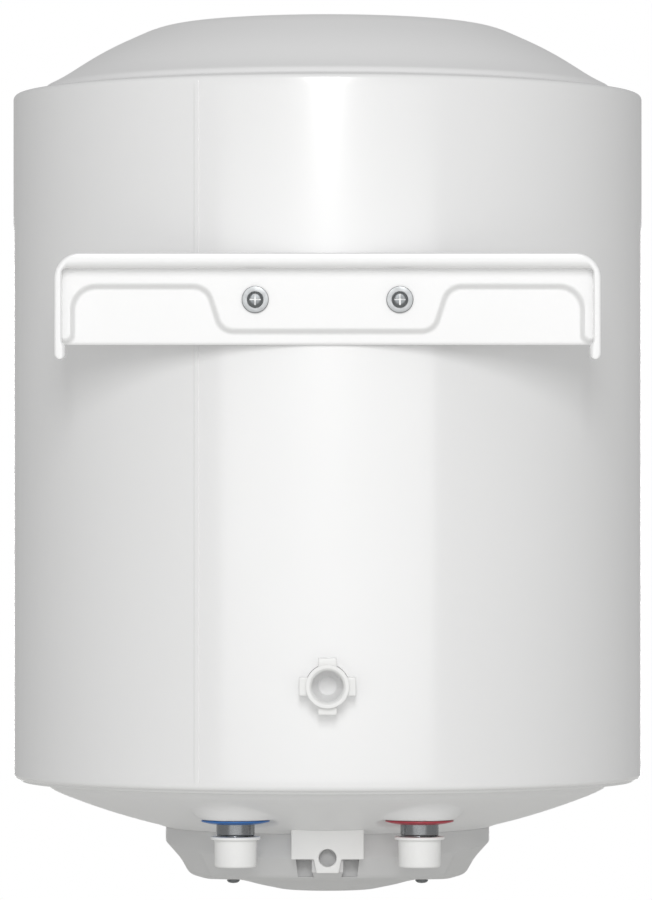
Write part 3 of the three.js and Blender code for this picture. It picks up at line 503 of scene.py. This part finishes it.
LUG = BRACKET_HALF - 3
LUG_CENTRE = -49.6
corner_x, corner_z = BRACKET_HALF - CORNER, BRACKET_TOP - CORNER
outer_path = np.vstack([[[0, BRACKET_TOP], [corner_x / 2, BRACKET_TOP]],
                        arc_points((corner_x, corner_z), CORNER, 90, 0, 17),
                        [[BRACKET_HALF, -25], [BRACKET_HALF, -40], [BRACKET_HALF, -43], [BRACKET_HALF, -44.6],
                         [BRACKET_HALF, -46], [BRACKET_HALF, -48]],
                        arc_points((LUG, LUG_CENTRE), 3, 0, -90, 10)])
square = np.linspace(np.pi / 2, 0, 17)
inner_arc = np.stack([corner_x + (inner_edge - corner_x) * np.cos(square) ** 0.3,
                      corner_z + (CORNER - LIP_HEIGHT) * np.sin(square) ** 0.3], axis=-1)
inner_path = np.vstack([[[0, BRACKET_TOP - LIP_HEIGHT], [corner_x / 2, BRACKET_TOP - LIP_HEIGHT]], inner_arc,
                        [[inner_edge, -25], [inner_edge, -41.5], [inner_edge - 0.25, -43.4],
                         [LUG - 2.6, -44.9], [LUG - 3, -46.4], [LUG - 3, -48]],
                        arc_points((LUG, LUG_CENTRE), 3, 180, 270, 10)])
outer_path = np.vstack([outer_path[::-1] * [-1, 1], outer_path[1:]])
inner_path = np.vstack([inner_path[::-1] * [-1, 1], inner_path[1:]])
width = np.linalg.norm(inner_path - outer_path, axis=-1)
nose = np.linspace(0, np.pi / 2, 7)
outer_bevel = np.full((len(width), 1), 1.5)
inner_bevel = 0.9 + 2.6 * smooth_step((width[:, None] - FLANGE_WIDTH) / (LIP_HEIGHT - FLANGE_WIDTH))
flat_back = np.zeros((len(width), 1))
step_in = np.hstack([flat_back, outer_bevel * (1 - np.cos(nose)),
                     -inner_bevel * (1 - np.sin(nose)), flat_back])
from_inner = np.repeat([0.0, 1.0], len(nose) + 1)
depth = np.hstack([flat_back + BRACKET_BACK, -outer_bevel * (1 - np.sin(nose)),
                   -inner_bevel * (1 - np.cos(nose)), flat_back + BRACKET_BACK])
share = np.clip(from_inner + step_in / np.maximum(width, 1e-6)[:, None], 0, 1)
# Where a lug narrows to its tip, the two bevels share its width.
at_lug_tip = width[:, None] < 3.5
share = np.where(at_lug_tip, (from_inner + share) / 2, share)
rim_points = outer_path[:, None] * (1 - share[..., None]) + inner_path[:, None] * share[..., None]
rim_grid = np.stack([rim_points[..., 0], depth, rim_points[..., 1]], axis=-1) * MM
rim = skin("bracket_rim", rim_grid)
for part in (plate, rim):
    part.data.materials.append(white_enamel)
    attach(part, "root")
    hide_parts("hanging_bracket")

# ---- Bracket screws and washers --------------------------------------------------------------
# Two M5 pan-head screws with plain washers hold the bracket to threaded bosses on the tank. All
# are zinc plated and passivated, which leaves a bluish grey bloom on a satin metal.


def plated_steel(name, colour, roughness, streak_mm=0.5):
    """Zinc-plated steel: bright metal whose plating is slightly cloudy, with fine tool marks."""
    material = bpy.data.materials.new(name)
    material.use_nodes = True
    tree = material.node_tree
    shader = tree.nodes["Principled BSDF"]
    place = add_node(tree, "ShaderNodeTexCoord").outputs["Object"]
    bloom = add_node(tree, "ShaderNodeTexNoise", {"Vector": place, "Scale": 260.0, "Detail": 3.0})
    marks = add_node(tree, "ShaderNodeTexNoise", {
        "Vector": place, "Scale": 1 / (streak_mm * MM), "Detail": 2.0})
    tone = add_node(tree, "ShaderNodeMix", {"Factor": bloom.outputs["Fac"]}, data_type="RGBA")
    tone.inputs["A"].default_value = linear(colour)
    tone.inputs["B"].default_value = tuple(0.82 * part for part in linear(colour)[:3]) + (1.0,)
    gloss = add_node(tree, "ShaderNodeMapRange", {
        "Value": bloom.outputs["Fac"], "From Min": 0.3, "From Max": 0.7,
        "To Min": roughness - 0.06, "To Max": roughness + 0.08})
    bump = add_node(tree, "ShaderNodeBump", {
        "Height": marks.outputs["Fac"], "Strength": 0.2, "Distance": 0.03 * MM})
    tree.links.new(tone.outputs["Result"], shader.inputs["Base Color"])
    tree.links.new(gloss.outputs["Result"], shader.inputs["Roughness"])
    tree.links.new(bump.outputs["Normal"], shader.inputs["Normal"])
    shader.inputs["Metallic"].default_value = 1.0
    return material


zinc = plated_steel("zinc_plated_steel", "#9d9fa0", 0.36)
screw_zinc = plated_steel("passivated_screw_steel", "#85888a", 0.38)
# The cross recess is lined with near-white zinc: a painted highlight that makes the cross in each screw head
# read light.
recess_painted_highlight = plated_steel("zinc_with_painted_highlight_in_recess", "#eceded", 0.55)
washer_seat = PLATE_FACE + PRESSED_OUT + 0.3


def cross_recess(place, seat, half, towards, finish):
    """A cross-shaped tool for the recess in a screw's head: a star whose reach at each angle is
    that of two crossed bars, with slightly tapered sides. Its finish lines the recess."""
    turn = whole_turn(160)
    bar_half = 0.45
    along_x = np.maximum(np.abs(np.cos(turn)), 1e-3)
    along_y = np.maximum(np.abs(np.sin(turn)), 1e-3)
    reach = np.maximum(np.minimum(half / along_x, bar_half / along_y),
                       np.minimum(half / along_y, bar_half / along_x))
    taper, rise = np.array([0, 0.82, 1.05, 0]), np.array([0, 0, 3.5, 3.5])
    outline = np.stack([reach[:, None] * taper, seat + rise + 0 * reach[:, None]], axis=-1) * MM
    tool = skin("cross_tool", revolve(outline, turn, place, towards), wrap_rows=True)
    tool.data.materials.append(finish)
    return tool


for place, side in zip(BRACKET_SCREWS, ("right", "left")):
    washer = turned(f"bracket_washer_{side}_plated", [
        [2.8, washer_seat], [7.2, washer_seat], [7.2, washer_seat + 1.2], [2.8, washer_seat + 1.2]],
        [0.15, 0.2, 0.45, 0.3], place, "wall")
    washer.data.materials.append(zinc)
    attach(washer, "root")
    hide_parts(f"bracket_washer_{side}")
    seat = washer_seat + 1.5
    screw = turned(f"bracket_screw_{side}_plated", [
        [0, -35.5], [2.5, -34.5], [2.5, seat], [4.4, seat], [4.4, seat + 1.4], [3.2, seat + 2.75],
        [0, seat + 2.8]], [0, 0.3, 0.1, 0.15, 0.9, 0.9, 0], place, "wall")
    screw.data.materials.append(screw_zinc)
    carve(screw, cross_recess(place, seat + 1.5, 3.5, "wall", recess_painted_highlight))
    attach(screw, "root")
    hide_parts(f"bracket_screw_{side}")
    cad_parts[f"bracket_boss_{side}"].data.materials.clear()
    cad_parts[f"bracket_boss_{side}"].data.materials.append(zinc)

# ---- Wall standoff ---------------------------------------------------------------------------
# An adjustable foot of white polypropylene, which keeps the heater upright on the wall: a collar
# with four lugs screws along a pale socket in the jacket, and carries a ring that rests on the wall.
standoff_place = (0, 0, standoff_z)
# The socket is moulded near-white rather than grey. That pale colour is partly painted light, which lifts the
# shade in its deep bore.
pale_plastic_with_painted_light = moulded_plastic("off_white_abs_with_painted_light", "#f1f1f1", 0.45, 0.5)
grey_plastic = moulded_plastic("grey_abs", "#b9b9b9", 0.45, 0.5)
socket = turned("standoff_socket_moulding", [[0, -29.1], [10, -29.1], [10, -9.5], [8.2, -9.5], [4.9, -17.5],
                                             [0, -17.5]], [0, 0.4, 0.4, 0.6, 0.5, 0], standoff_place, "wall")
COLLAR_RADIUS, COLLAR_MOUTH = 11.6, 8.55
collar = turned("standoff_collar_moulding", [
    [0, -21.5], [COLLAR_RADIUS, -21.5], [COLLAR_RADIUS, -2.5], [0, -2.5]],
    [0, 0.5, 0.8, 0], standoff_place, "wall")
lug_turn = whole_turn(192)
LUG_REACH, LUG_HALF = 15.1, 4.9
lug_x = np.maximum(np.abs(np.cos(lug_turn)), 0.05)
lug_y = np.maximum(np.abs(np.sin(lug_turn)), 0.05)
arm_reach = np.maximum(np.minimum(LUG_REACH / lug_x, LUG_HALF / lug_y),
                       np.minimum(LUG_REACH / lug_y, LUG_HALF / lug_x))
lug_width, lug_height = np.array([0, 1, 1, 0]), np.array([-11.5, -11.5, -3.0, -3.0])
lug_outline = np.stack([arm_reach[:, None] * lug_width, lug_height + 0 * arm_reach[:, None]], axis=-1) * MM
lugs = skin("collar_lugs", revolve(rounded(lug_outline, np.array([0, 0.5, 0.7, 0]) * MM, 4), lug_turn,
                                   standoff_place, "wall"), wrap_rows=True)
carve(collar, lugs, "UNION")
carve(collar, turned("collar_bore", [
    [0, -30], [10.3, -30], [10.3, -5.5], [COLLAR_MOUTH, -5.5], [COLLAR_MOUTH, 1], [0, 1]],
    [0] * 6, standoff_place, "wall"))
foot = turned("standoff_pad_moulding", [[COLLAR_MOUTH, -2.2], [COLLAR_RADIUS, -2.2], [COLLAR_RADIUS, 0],
                                        [COLLAR_MOUTH + 1.15, 0], [COLLAR_MOUTH, -1.2]],
              [0.15, 0.25, 0.35, 0.2, 0.3], standoff_place, "wall")
for part, finish, body, node, finish_slot in (
        (socket, pale_plastic_with_painted_light, "root", "standoff_socket", "grey_plastic"),
        (collar, white_plastic, "collar", "standoff_collar", "white_plastic"),
        (foot, white_plastic, "pad", "standoff_pad", "white_plastic")):
    part.data.materials.append(finish)
    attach(part, body)
    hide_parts(node)

# ---- Water pipes -----------------------------------------------------------------------------
# Two half-inch steel nipples from the tank, threaded at their ends. Each carries a coloured
# rosette against the cap, blue for cold and red for hot, and a white push-on transit cap.
NIPPLE_END, NIPPLE_TOP = -324.9, -248.0
NIPPLE_RADIUS, NIPPLE_BORE = 10.4, 7.5
THREAD_PITCH = 1.814
cold_blue = moulded_plastic("blue_polypropylene", "#2f6db5", 0.34, 0.5)
hot_red = moulded_plastic("red_polypropylene", "#b03a48", 0.34, 0.5)
nipple_steel = plated_steel("plated_pipe_steel", "#96989a", 0.2, 0.25)
around = whole_turn(64)
along = np.linspace(NIPPLE_END + 0.6, -296, 170)
phase = (along[None] / THREAD_PITCH - around[:, None] / (2 * np.pi)) % 1
run_out = np.clip((-308.6 - along) / 1.2, 0, 1) * np.clip((along - NIPPLE_END) / 1.5, 0, 1)
thread = NIPPLE_RADIUS - 1.0 * (1 - np.abs(2 * phase - 1)) ** 1.2 * run_out
column = np.ones((64, 1))
nipple_radii = np.hstack([NIPPLE_BORE * column, (NIPPLE_RADIUS - 1.1) * column, thread,
                          NIPPLE_RADIUS * column, NIPPLE_BORE * column])
nipple_heights = column * np.concatenate([[NIPPLE_END] * 2, along, [NIPPLE_TOP] * 2])
nipple_outline = np.stack([nipple_radii, nipple_heights], axis=-1) * MM
for place, name, ring_finish, ring_slot in zip(PIPE_AXES, ("hot", "cold"), (hot_red, cold_blue),
                                               ("red_plastic", "blue_plastic")):
    nipple = skin(f"{name}_nipple_threaded", revolve(nipple_outline, around, place), wrap_rows=True)
    nipple.data.materials.append(nipple_steel)
    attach(nipple, "root")
    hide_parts(f"{name}_nipple")
    rosette = turned(f"{name}_rosette_moulding", [
        [10.7, -303.2], [13.6, -303.0], [18.6, -301.8], [18.6, -300.9], [10.7, -300.9]],
        [0.4, 1.5, 0.4, 0.4, 0.1], place)
    rosette.data.materials.append(ring_finish)
    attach(rosette, "root")
    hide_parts(f"{name}_rosette")
    transit = turned(f"{name}_transit_cap_moulding", [
        [0, -326.6], [11.3, -326.6], [11.55, -311.6], [13.55, -311.5], [13.55, -309.9], [10.7, -309.9],
        [10.7, -325.2], [0, -325.2]], [0, 1.4, 0.5, 0.5, 0.5, 0.2, 0.3, 0], place)
    transit.data.materials.append(white_plastic)
    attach(transit, f"{name}_cap")
    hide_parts(f"{name}_transit_cap")

# ---- Service cover ---------------------------------------------------------------------------
# A grey ABS dish over the controls. Its upright edge meets the cone, a crease runs round it, and
# on the wall side a steeper panel, two recesses and a square block lead to the cord's outlet.
COVER_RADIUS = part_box("service_cover")[1][0] / MM
COVER_FLOOR = -340.1
CREASE = -317.7
CREASE_FALL = 0.068
PANEL_TURN = np.radians(51.5)
COVER_WALL = 2.2
cover_grey = moulded_plastic("pale_grey_abs", "#d9d9d9", 0.42, 0.7)
panel_edge = np.radians(np.arange(48, 56, 0.5))
cover_turn = np.unique(np.concatenate([np.radians(np.arange(-16, 16, 0.25)), panel_edge, -panel_edge,
                                       np.linspace(-np.pi, np.pi, 180, endpoint=False)]))


def cover_section(turn, wall):
    """The dish's section at each angle from the wall side, as corners (radius, height) moved in
    by a wall. Towards the wall its crease falls, its flat ring rises and its side bulges out."""
    panel = smooth_step((PANEL_TURN - np.abs(turn)) / np.radians(1.5) + 0.5)
    to_wall = np.maximum(np.cos(turn), 0)
    rise = 0.055 * to_wall
    fixed = np.ones_like(turn)
    corners = [(0 * fixed, -335.8 * fixed), (19 * fixed, -335.8 * fixed), (19 * fixed, -345.4 * fixed),
               (26.7 * fixed, -345.0 * fixed), (38 * fixed, -342.9 + 0.5 * rise * 38),
               (46 * fixed, -340.9 + rise * 46), (51 * fixed, COVER_FLOOR + rise * 51),
               (62.8 * fixed, COVER_FLOOR + rise * 62.8), (68 + 7 * panel, -339.9 + 4.0 * to_wall),
               (77.6 + 5.2 * panel, -336.8 + 1.7 * to_wall), (82.6 + 4.6 * panel, -327.6 - 1.8 * to_wall),
               (COVER_RADIUS * fixed, CREASE - CREASE_FALL * COVER_RADIUS * to_wall),
               (COVER_RADIUS * fixed, -296 * fixed), (0 * fixed, -296 * fixed)]
    corners = np.stack([np.stack(corner, axis=-1) for corner in corners], axis=1)
    inwards = np.array([[0, 1], [1, 1], [1, 1], [0, 1], [-0.2, 1], [-0.2, 1], [0, 1], [0, 1],
                        [-0.3, 0.95], [-0.8, 0.6], [-0.9, 0.5], [-1, 0.3], [-1, 1], [0, 1]])
    return corners + inwards * wall


def cover_dish(name, wall):
    """The dish moved in by a wall: its section at each angle, rounded and carried round."""
    fillets = np.array([0, 0.3, 0.6, 0.8, 3, 2, 1.5, 3, 2.8, 3.2, 3, 0.7, 0.2, 0]) * MM
    outline = rounded(cover_section(cover_turn, wall) * MM, fillets, 5)
    points = revolve(outline, cover_turn, body_centre)
    return skin(name, points, wrap_rows=True)


def bevelled(name, work, bevel):
    """A blocky solid as a piece, with its edges rounded by a bevel in millimetres."""
    if bevel:
        bmesh.ops.bevel(work, geom=work.edges[:], offset=bevel * MM, segments=3, profile=0.5, affect="EDGES")
    mesh = bpy.data.meshes.new(name)
    work.to_mesh(mesh)
    work.free()
    return tidy_piece(name, mesh)


def prism(name, outline, near, far, bevel=0.0):
    """An outline in X and Z, in millimetres, carried along Y."""
    corners = np.insert(np.asarray(outline, float), 1, near, axis=1) * MM
    end = bpy.data.meshes.new("prism_end")
    end.from_pydata(corners, [], [range(len(corners))])
    work = bmesh.new()
    work.from_mesh(end)
    pushed = bmesh.ops.extrude_face_region(work, geom=work.faces[:])["geom"]
    moved = [item for item in pushed if isinstance(item, bmesh.types.BMVert)]
    bmesh.ops.translate(work, verts=moved, vec=(0, (far - near) * MM, 0))
    return bevelled(name, work, bevel)


def boxed(name, low_corner, high_corner, bevel=0.0):
    """A block between two corners in millimetres."""
    middle = (np.array(low_corner) + np.array(high_corner)) / 2 * MM
    size = (np.array(high_corner) - np.array(low_corner)) * MM
    work = bmesh.new()
    bmesh.ops.create_cube(work, size=1)
    bmesh.ops.scale(work, verts=work.verts[:], vec=size)
    bmesh.ops.translate(work, verts=work.verts[:], vec=middle)
    return bevelled(name, work, bevel)


def above_cone():
    """A tool that trims a piece just below the bottom cap's cone."""
    radii = np.linspace(0, 146, 40)
    rows = np.vstack([np.stack([radii, cone_height(radii) - 0.06], axis=-1), [[146, -270], [0, -270]]]) * MM
    return skin("cone_trimmer", revolve(rows, whole_turn(240), body_centre), wrap_rows=True)


axis_y = AXIS_Y / MM
CORD_PLACE = (0, AXIS_Y, -322.5 * MM)
OUTLET_FACE = axis_y + 100
cover = cover_dish("service_cover_moulding", 0)
BLOCK_FACE = OUTLET_FACE - 3.3
outlet_block = boxed("outlet_block", [-19.4, axis_y + 50, -323.3], [19.4, BLOCK_FACE, -298], 0.6)
outlet_tab = boxed("outlet_tab", [-8.6, axis_y + 50, -330.8], [8.6, BLOCK_FACE, -302], 0.6)
carve(cover, outlet_block, "UNION")
carve(cover, outlet_tab, "UNION")
inside = cover_dish("cover_inside", COVER_WALL)
carve(inside, boxed("block_inside", [-17.2, axis_y + 50, -321.1], [17.2, OUTLET_FACE - 5.5, -290]), "UNION")
# Walls are kept behind the two recesses, the blind end of the cord's hole and the knob's well.
for side in (-1, 1):
    near, far = sorted((side * 4, side * 20))
    carve(inside, boxed("recess_wall", [near, axis_y + 77, -345], [far, axis_y + 100, -324]))
carve(inside, boxed("bore_wall", [-7, axis_y + 80, -330], [7, axis_y + 100, -315]))
carve(inside, drill("well_wall", 21.2, -350, -333.6, body_centre))
carve(cover, inside)
carve(cover, above_cone())
carve(cover, drill("cord_bore", 5.1, 90.5, 110, CORD_PLACE, "wall", count=48))
carve(cover, drill("shaft_hole", 4.2, -350, -320, body_centre, count=32))
PILOT_PLACE = (0, AXIS_Y - 34 * MM, 0)
carve(cover, drill("pilot_hole", 4.6, -350, -335, PILOT_PLACE, count=32))
for place in COVER_SCREWS:
    carve(cover, drill("cover_screw_hole", 2.4, -350, -330, place, count=32))
recess = np.array([[8.7, -318], [17.4, -318], [17.3, -324.6], [16.3, -333.8], [7.6, -333.8], [8.6, -330]])
for side in (-1, 1):
    carve(cover, prism("outlet_recess", recess * [side, 1], axis_y + 80, axis_y + 95.2))
cover.data.materials.append(cover_grey)
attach(cover, "root")
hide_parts("service_cover")

# ---- Cord outlet plate -----------------------------------------------------------------------
# A separate white plate clipped on the outlet block, with the hole for the mains cord and a
# tapered tab below it, moulded in polypropylene.
plate_outline = both_sides([[19.8, -300], [19.8, -323.3], [7.5, -323.3], [6, -330.8]])
outlet_plate = prism("cable_entry_plate_moulding", plate_outline, OUTLET_FACE - 3, OUTLET_FACE, 0.45)
carve(outlet_plate, turned("cord_hole", [[0, 90], [4.8, 90], [4.8, 99.5], [5.3, 100.1], [5.3, 110], [0, 110]],
                           [0] * 6, CORD_PLACE, "wall", count=64))
carve(outlet_plate, above_cone())
outlet_plate.data.materials.append(white_plastic)
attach(outlet_plate, "root")
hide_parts("cable_entry_plate")

# ---- Cover screws ----------------------------------------------------------------------------
# Two plated screws go up through the cover into posts on the bottom cap.
for place, side in zip(COVER_SCREWS, ("right", "left")):
    seat = COVER_FLOOR - 0.3
    screw = turned(f"cover_screw_{side}_plated", [
        [0, seat - 1.95], [2.6, seat - 1.6], [3.6, seat - 0.6], [3.6, seat], [1.9, seat], [1.9, seat + 12],
        [0, seat + 13]], [0, 0.8, 0.3, 0.1, 0.1, 0.2, 0], place, count=48)
    screw.data.materials.append(screw_zinc)
    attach(screw, "root")
    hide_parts(f"cover_screw_{side}")

# ---- Thermostat knob and pilot lamp ----------------------------------------------------------
# The knob is a grey ABS disc with a finger bar, in a well in the cover. Beside it an amber
# polycarbonate lens covers the pilot lamp.
knob_turn = whole_turn(144)
knob_rows = rounded(np.array([[0, -341.6], [15.4, -341.6], [17, -340.6], [17, -337.4], [0, -337.4]]) * MM,
                    np.array([0, 0.6, 0.8, 0.3, 0]) * MM, 5)
knob_outline = np.broadcast_to(knob_rows, (144, *knob_rows.shape)).copy()
flutes = 0.35 * MM * np.maximum(np.cos(24 * knob_turn), 0) ** 2
knob_outline[..., 0] -= flutes[:, None] * (knob_outline[..., 0] > 14 * MM)
knob = skin("thermostat_knob_moulding", revolve(knob_outline, knob_turn, body_centre), wrap_rows=True)
carve(knob, boxed("finger_bar", [-13, axis_y - 3, -345.2], [13, axis_y + 3, -340], 0.9), "UNION")
carve(knob, boxed("pointer_groove", [9.2, axis_y - 0.5, -346], [12.6, axis_y + 0.5, -344.8]))
carve(knob, drill("knob_bore", 3.3, -343.1, -330, body_centre, count=32))
knob.data.materials.append(grey_plastic)
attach(knob, "knob")
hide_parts("thermostat_knob")

amber = bpy.data.materials.new("amber_polycarbonate")
amber.use_nodes = True
tree = amber.node_tree
on_lamp = add_node(tree, "ShaderNodeTexCoord").outputs["Object"]
ribs = add_node(tree, "ShaderNodeTexWave", {"Vector": on_lamp, "Scale": 260.0})
ribbing = add_node(tree, "ShaderNodeBump", {
    "Height": ribs.outputs["Fac"], "Strength": 0.4, "Distance": 0.1 * MM})
tree.links.new(ribbing.outputs["Normal"], tree.nodes["Principled BSDF"].inputs["Normal"])
for socket_name, value in (("Base Color", linear("#e07a1c")), ("Roughness", 0.12), ("IOR", 1.58),
                           ("Transmission Weight", 0.35)):
    tree.nodes["Principled BSDF"].inputs[socket_name].default_value = value
lens = turned("pilot_lamp_lens_moulding", [
    [0, -345.4], [2.8, -345.1], [4.2, -343.6], [4.2, -340.9], [0, -340.9]],
    [0, 1.2, 0.9, 0.2, 0], PILOT_PLACE, count=64)
lens.data.materials.append(amber)
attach(lens, "root")
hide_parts("pilot_lamp_lens")

# ---- Front thermometer -----------------------------------------------------------------------
# A dial thermometer in the front of the jacket: a grey bezel, a printed white dial, a red needle
# and a clear flat lens. Its copper stem reaches the tank.
DIAL_PLACE = (0, AXIS_Y, dial_z)
bezel = turned("thermometer_housing_moulding", [
    [0, 165], [19, 165], [19, 173], [24, 173], [24, 183], [22.4, 184.5], [19.4, 184.5], [18.3, 183.4],
    [18.3, 181.2], [17, 181.2], [17, 167], [0, 167]],
    [0, 0.3, 0.2, 0.4, 1.0, 1.0, 0.7, 0.4, 0.2, 0.2, 0.3, 0], DIAL_PLACE, "front")
drum = drill("jacket_drum", 176.8, -250, -180, body_centre, count=288)
carve(drum, drill("stem_way", 19.1, 100, 220, DIAL_PLACE, "front"))
carve(bezel, drum)
bezel.data.materials.append(grey_plastic)
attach(bezel, "root")
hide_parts("thermometer_housing")

dial = turned("thermometer_dial_print", [[0, 167.3], [16.6, 167.3], [16.6, 168.1], [0, 168.1]],
              [0, 0.1, 0.15, 0], DIAL_PLACE, "front")
print_on_card = bpy.data.materials.new("printed_dial_card")
print_on_card.use_nodes = True
tree = print_on_card.node_tree
# The scale is a ring of ticks about the dial's middle: 24 waves of a cosine round the turn.
on_dial = add_node(tree, "ShaderNodeTexCoord").outputs["Object"]
centred = add_node(tree, "ShaderNodeMapping", {
    "Vector": on_dial, "Location": (0, 0, -dial_z), "Scale": (1, 0, 1)})
axes = add_node(tree, "ShaderNodeSeparateXYZ", {"Vector": centred.outputs["Vector"]})
from_middle = add_node(tree, "ShaderNodeVectorMath", {0: centred.outputs["Vector"]}, operation="LENGTH")
dial_turn = add_node(tree, "ShaderNodeMath", {
    0: axes.outputs["X"], 1: axes.outputs["Z"]}, operation="ARCTAN2")
waves = add_node(tree, "ShaderNodeMath", {0: dial_turn.outputs[0], 1: 24.0}, operation="MULTIPLY")
crests = add_node(tree, "ShaderNodeMath", {0: waves.outputs[0]}, operation="COSINE")
tick = add_node(tree, "ShaderNodeMath", {0: crests.outputs[0], 1: 0.86}, operation="GREATER_THAN")
on_ring = add_node(tree, "ShaderNodeMath", {
    0: from_middle.outputs["Value"], 1: 13.6 * MM, 2: 1.1 * MM}, operation="COMPARE")
on_scale = add_node(tree, "ShaderNodeMath", {0: dial_turn.outputs[0], 1: 0.0, 2: 2.15}, operation="COMPARE")
ring_ticks = add_node(tree, "ShaderNodeMath", {
    0: tick.outputs[0], 1: on_ring.outputs[0]}, operation="MULTIPLY")
printed = add_node(tree, "ShaderNodeMath", {
    0: ring_ticks.outputs[0], 1: on_scale.outputs[0]}, operation="MULTIPLY").outputs[0]
card = add_node(tree, "ShaderNodeMix", {"Factor": printed}, data_type="RGBA")
card.inputs["A"].default_value = linear("#f2f2ef")
card.inputs["B"].default_value = linear("#2a2c30")
tree.links.new(card.outputs["Result"], tree.nodes["Principled BSDF"].inputs["Base Color"])
tree.nodes["Principled BSDF"].inputs["Roughness"].default_value = 0.5
dial.data.materials.append(print_on_card)
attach(dial, "root")
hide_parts("thermometer_dial")

clear = bpy.data.materials.new("clear_polycarbonate")
clear.use_nodes = True
tree = clear.node_tree
on_lens = add_node(tree, "ShaderNodeTexCoord").outputs["Object"]
smear = add_node(tree, "ShaderNodeTexNoise", {"Vector": on_lens, "Scale": 90.0, "Detail": 2.0})
haze = add_node(tree, "ShaderNodeMapRange", {"Value": smear.outputs["Fac"], "To Min": 0.01, "To Max": 0.05})
tree.links.new(haze.outputs["Result"], tree.nodes["Principled BSDF"].inputs["Roughness"])
for socket_name, value in (("Base Color", linear("#fbfdfd")), ("IOR", 1.58), ("Transmission Weight", 1.0)):
    tree.nodes["Principled BSDF"].inputs[socket_name].default_value = value
glass = turned("thermometer_lens_moulding", [[0, 181.5], [18, 181.5], [18, 183], [0, 183]],
               [0, 0.2, 0.4, 0], DIAL_PLACE, "front")
glass.data.materials.append(clear)
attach(glass, "root")
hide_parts("thermometer_lens")

# ---- Pieces inside and small carried pieces --------------------------------------------------
# These keep their shapes as they are, and take the finish of the real ones.
foam = moulded_plastic("poured_polyurethane_foam", "#e3cf9a", 0.85, 1.6, 0.4)
glass_enamel = enamel("glass_lined_tank_enamel", "#2c4a6b", 0.3, 0.6)
black_plastic = moulded_plastic("black_phenolic", "#2b2c2e", 0.5, 0.4)
pipe_steel = plated_steel("drawn_steel", "#9a9c9e", 0.4)
copper = plated_steel("drawn_copper", "#c47a52", 0.3)
magnesium = plated_steel("cast_magnesium", "#a5a7a8", 0.55)
rubber = moulded_plastic("moulded_nitrile_rubber", "#1d1d1d", 0.75, 0.8)
finishes = {
    "insulation_foam": foam, "inner_tank": glass_enamel, "tank_flange_ring": pipe_steel,
    "flange_gasket": rubber, "flange_plate": zinc, "heating_element": copper, "thermowell": copper,
    "anode_rod": magnesium,
    "thermostat_body": black_plastic, "thermostat_shaft": white_plastic, "safety_cutout": black_plastic,
    "reset_button": hot_red, "terminal_block": white_plastic, "pilot_lamp_body": black_plastic,
    "thermometer_stem": copper, "thermometer_needle": hot_red, "inlet_diffuser": white_plastic,
    "hot_water_pipe": pipe_steel, "live_wire": moulded_plastic("brown_pvc", "#6b3f22", 0.45, 0.5),
    "neutral_wire": moulded_plastic("blue_pvc", "#2f62a8", 0.45, 0.5),
    "earth_wire": moulded_plastic("green_pvc", "#5d8f2f", 0.45, 0.5),
    **{f"flange_nut_{i}": zinc for i in range(1, 6)},
}
for node, finish in finishes.items():
    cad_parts[node].data.materials.clear()
    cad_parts[node].data.materials.append(finish)
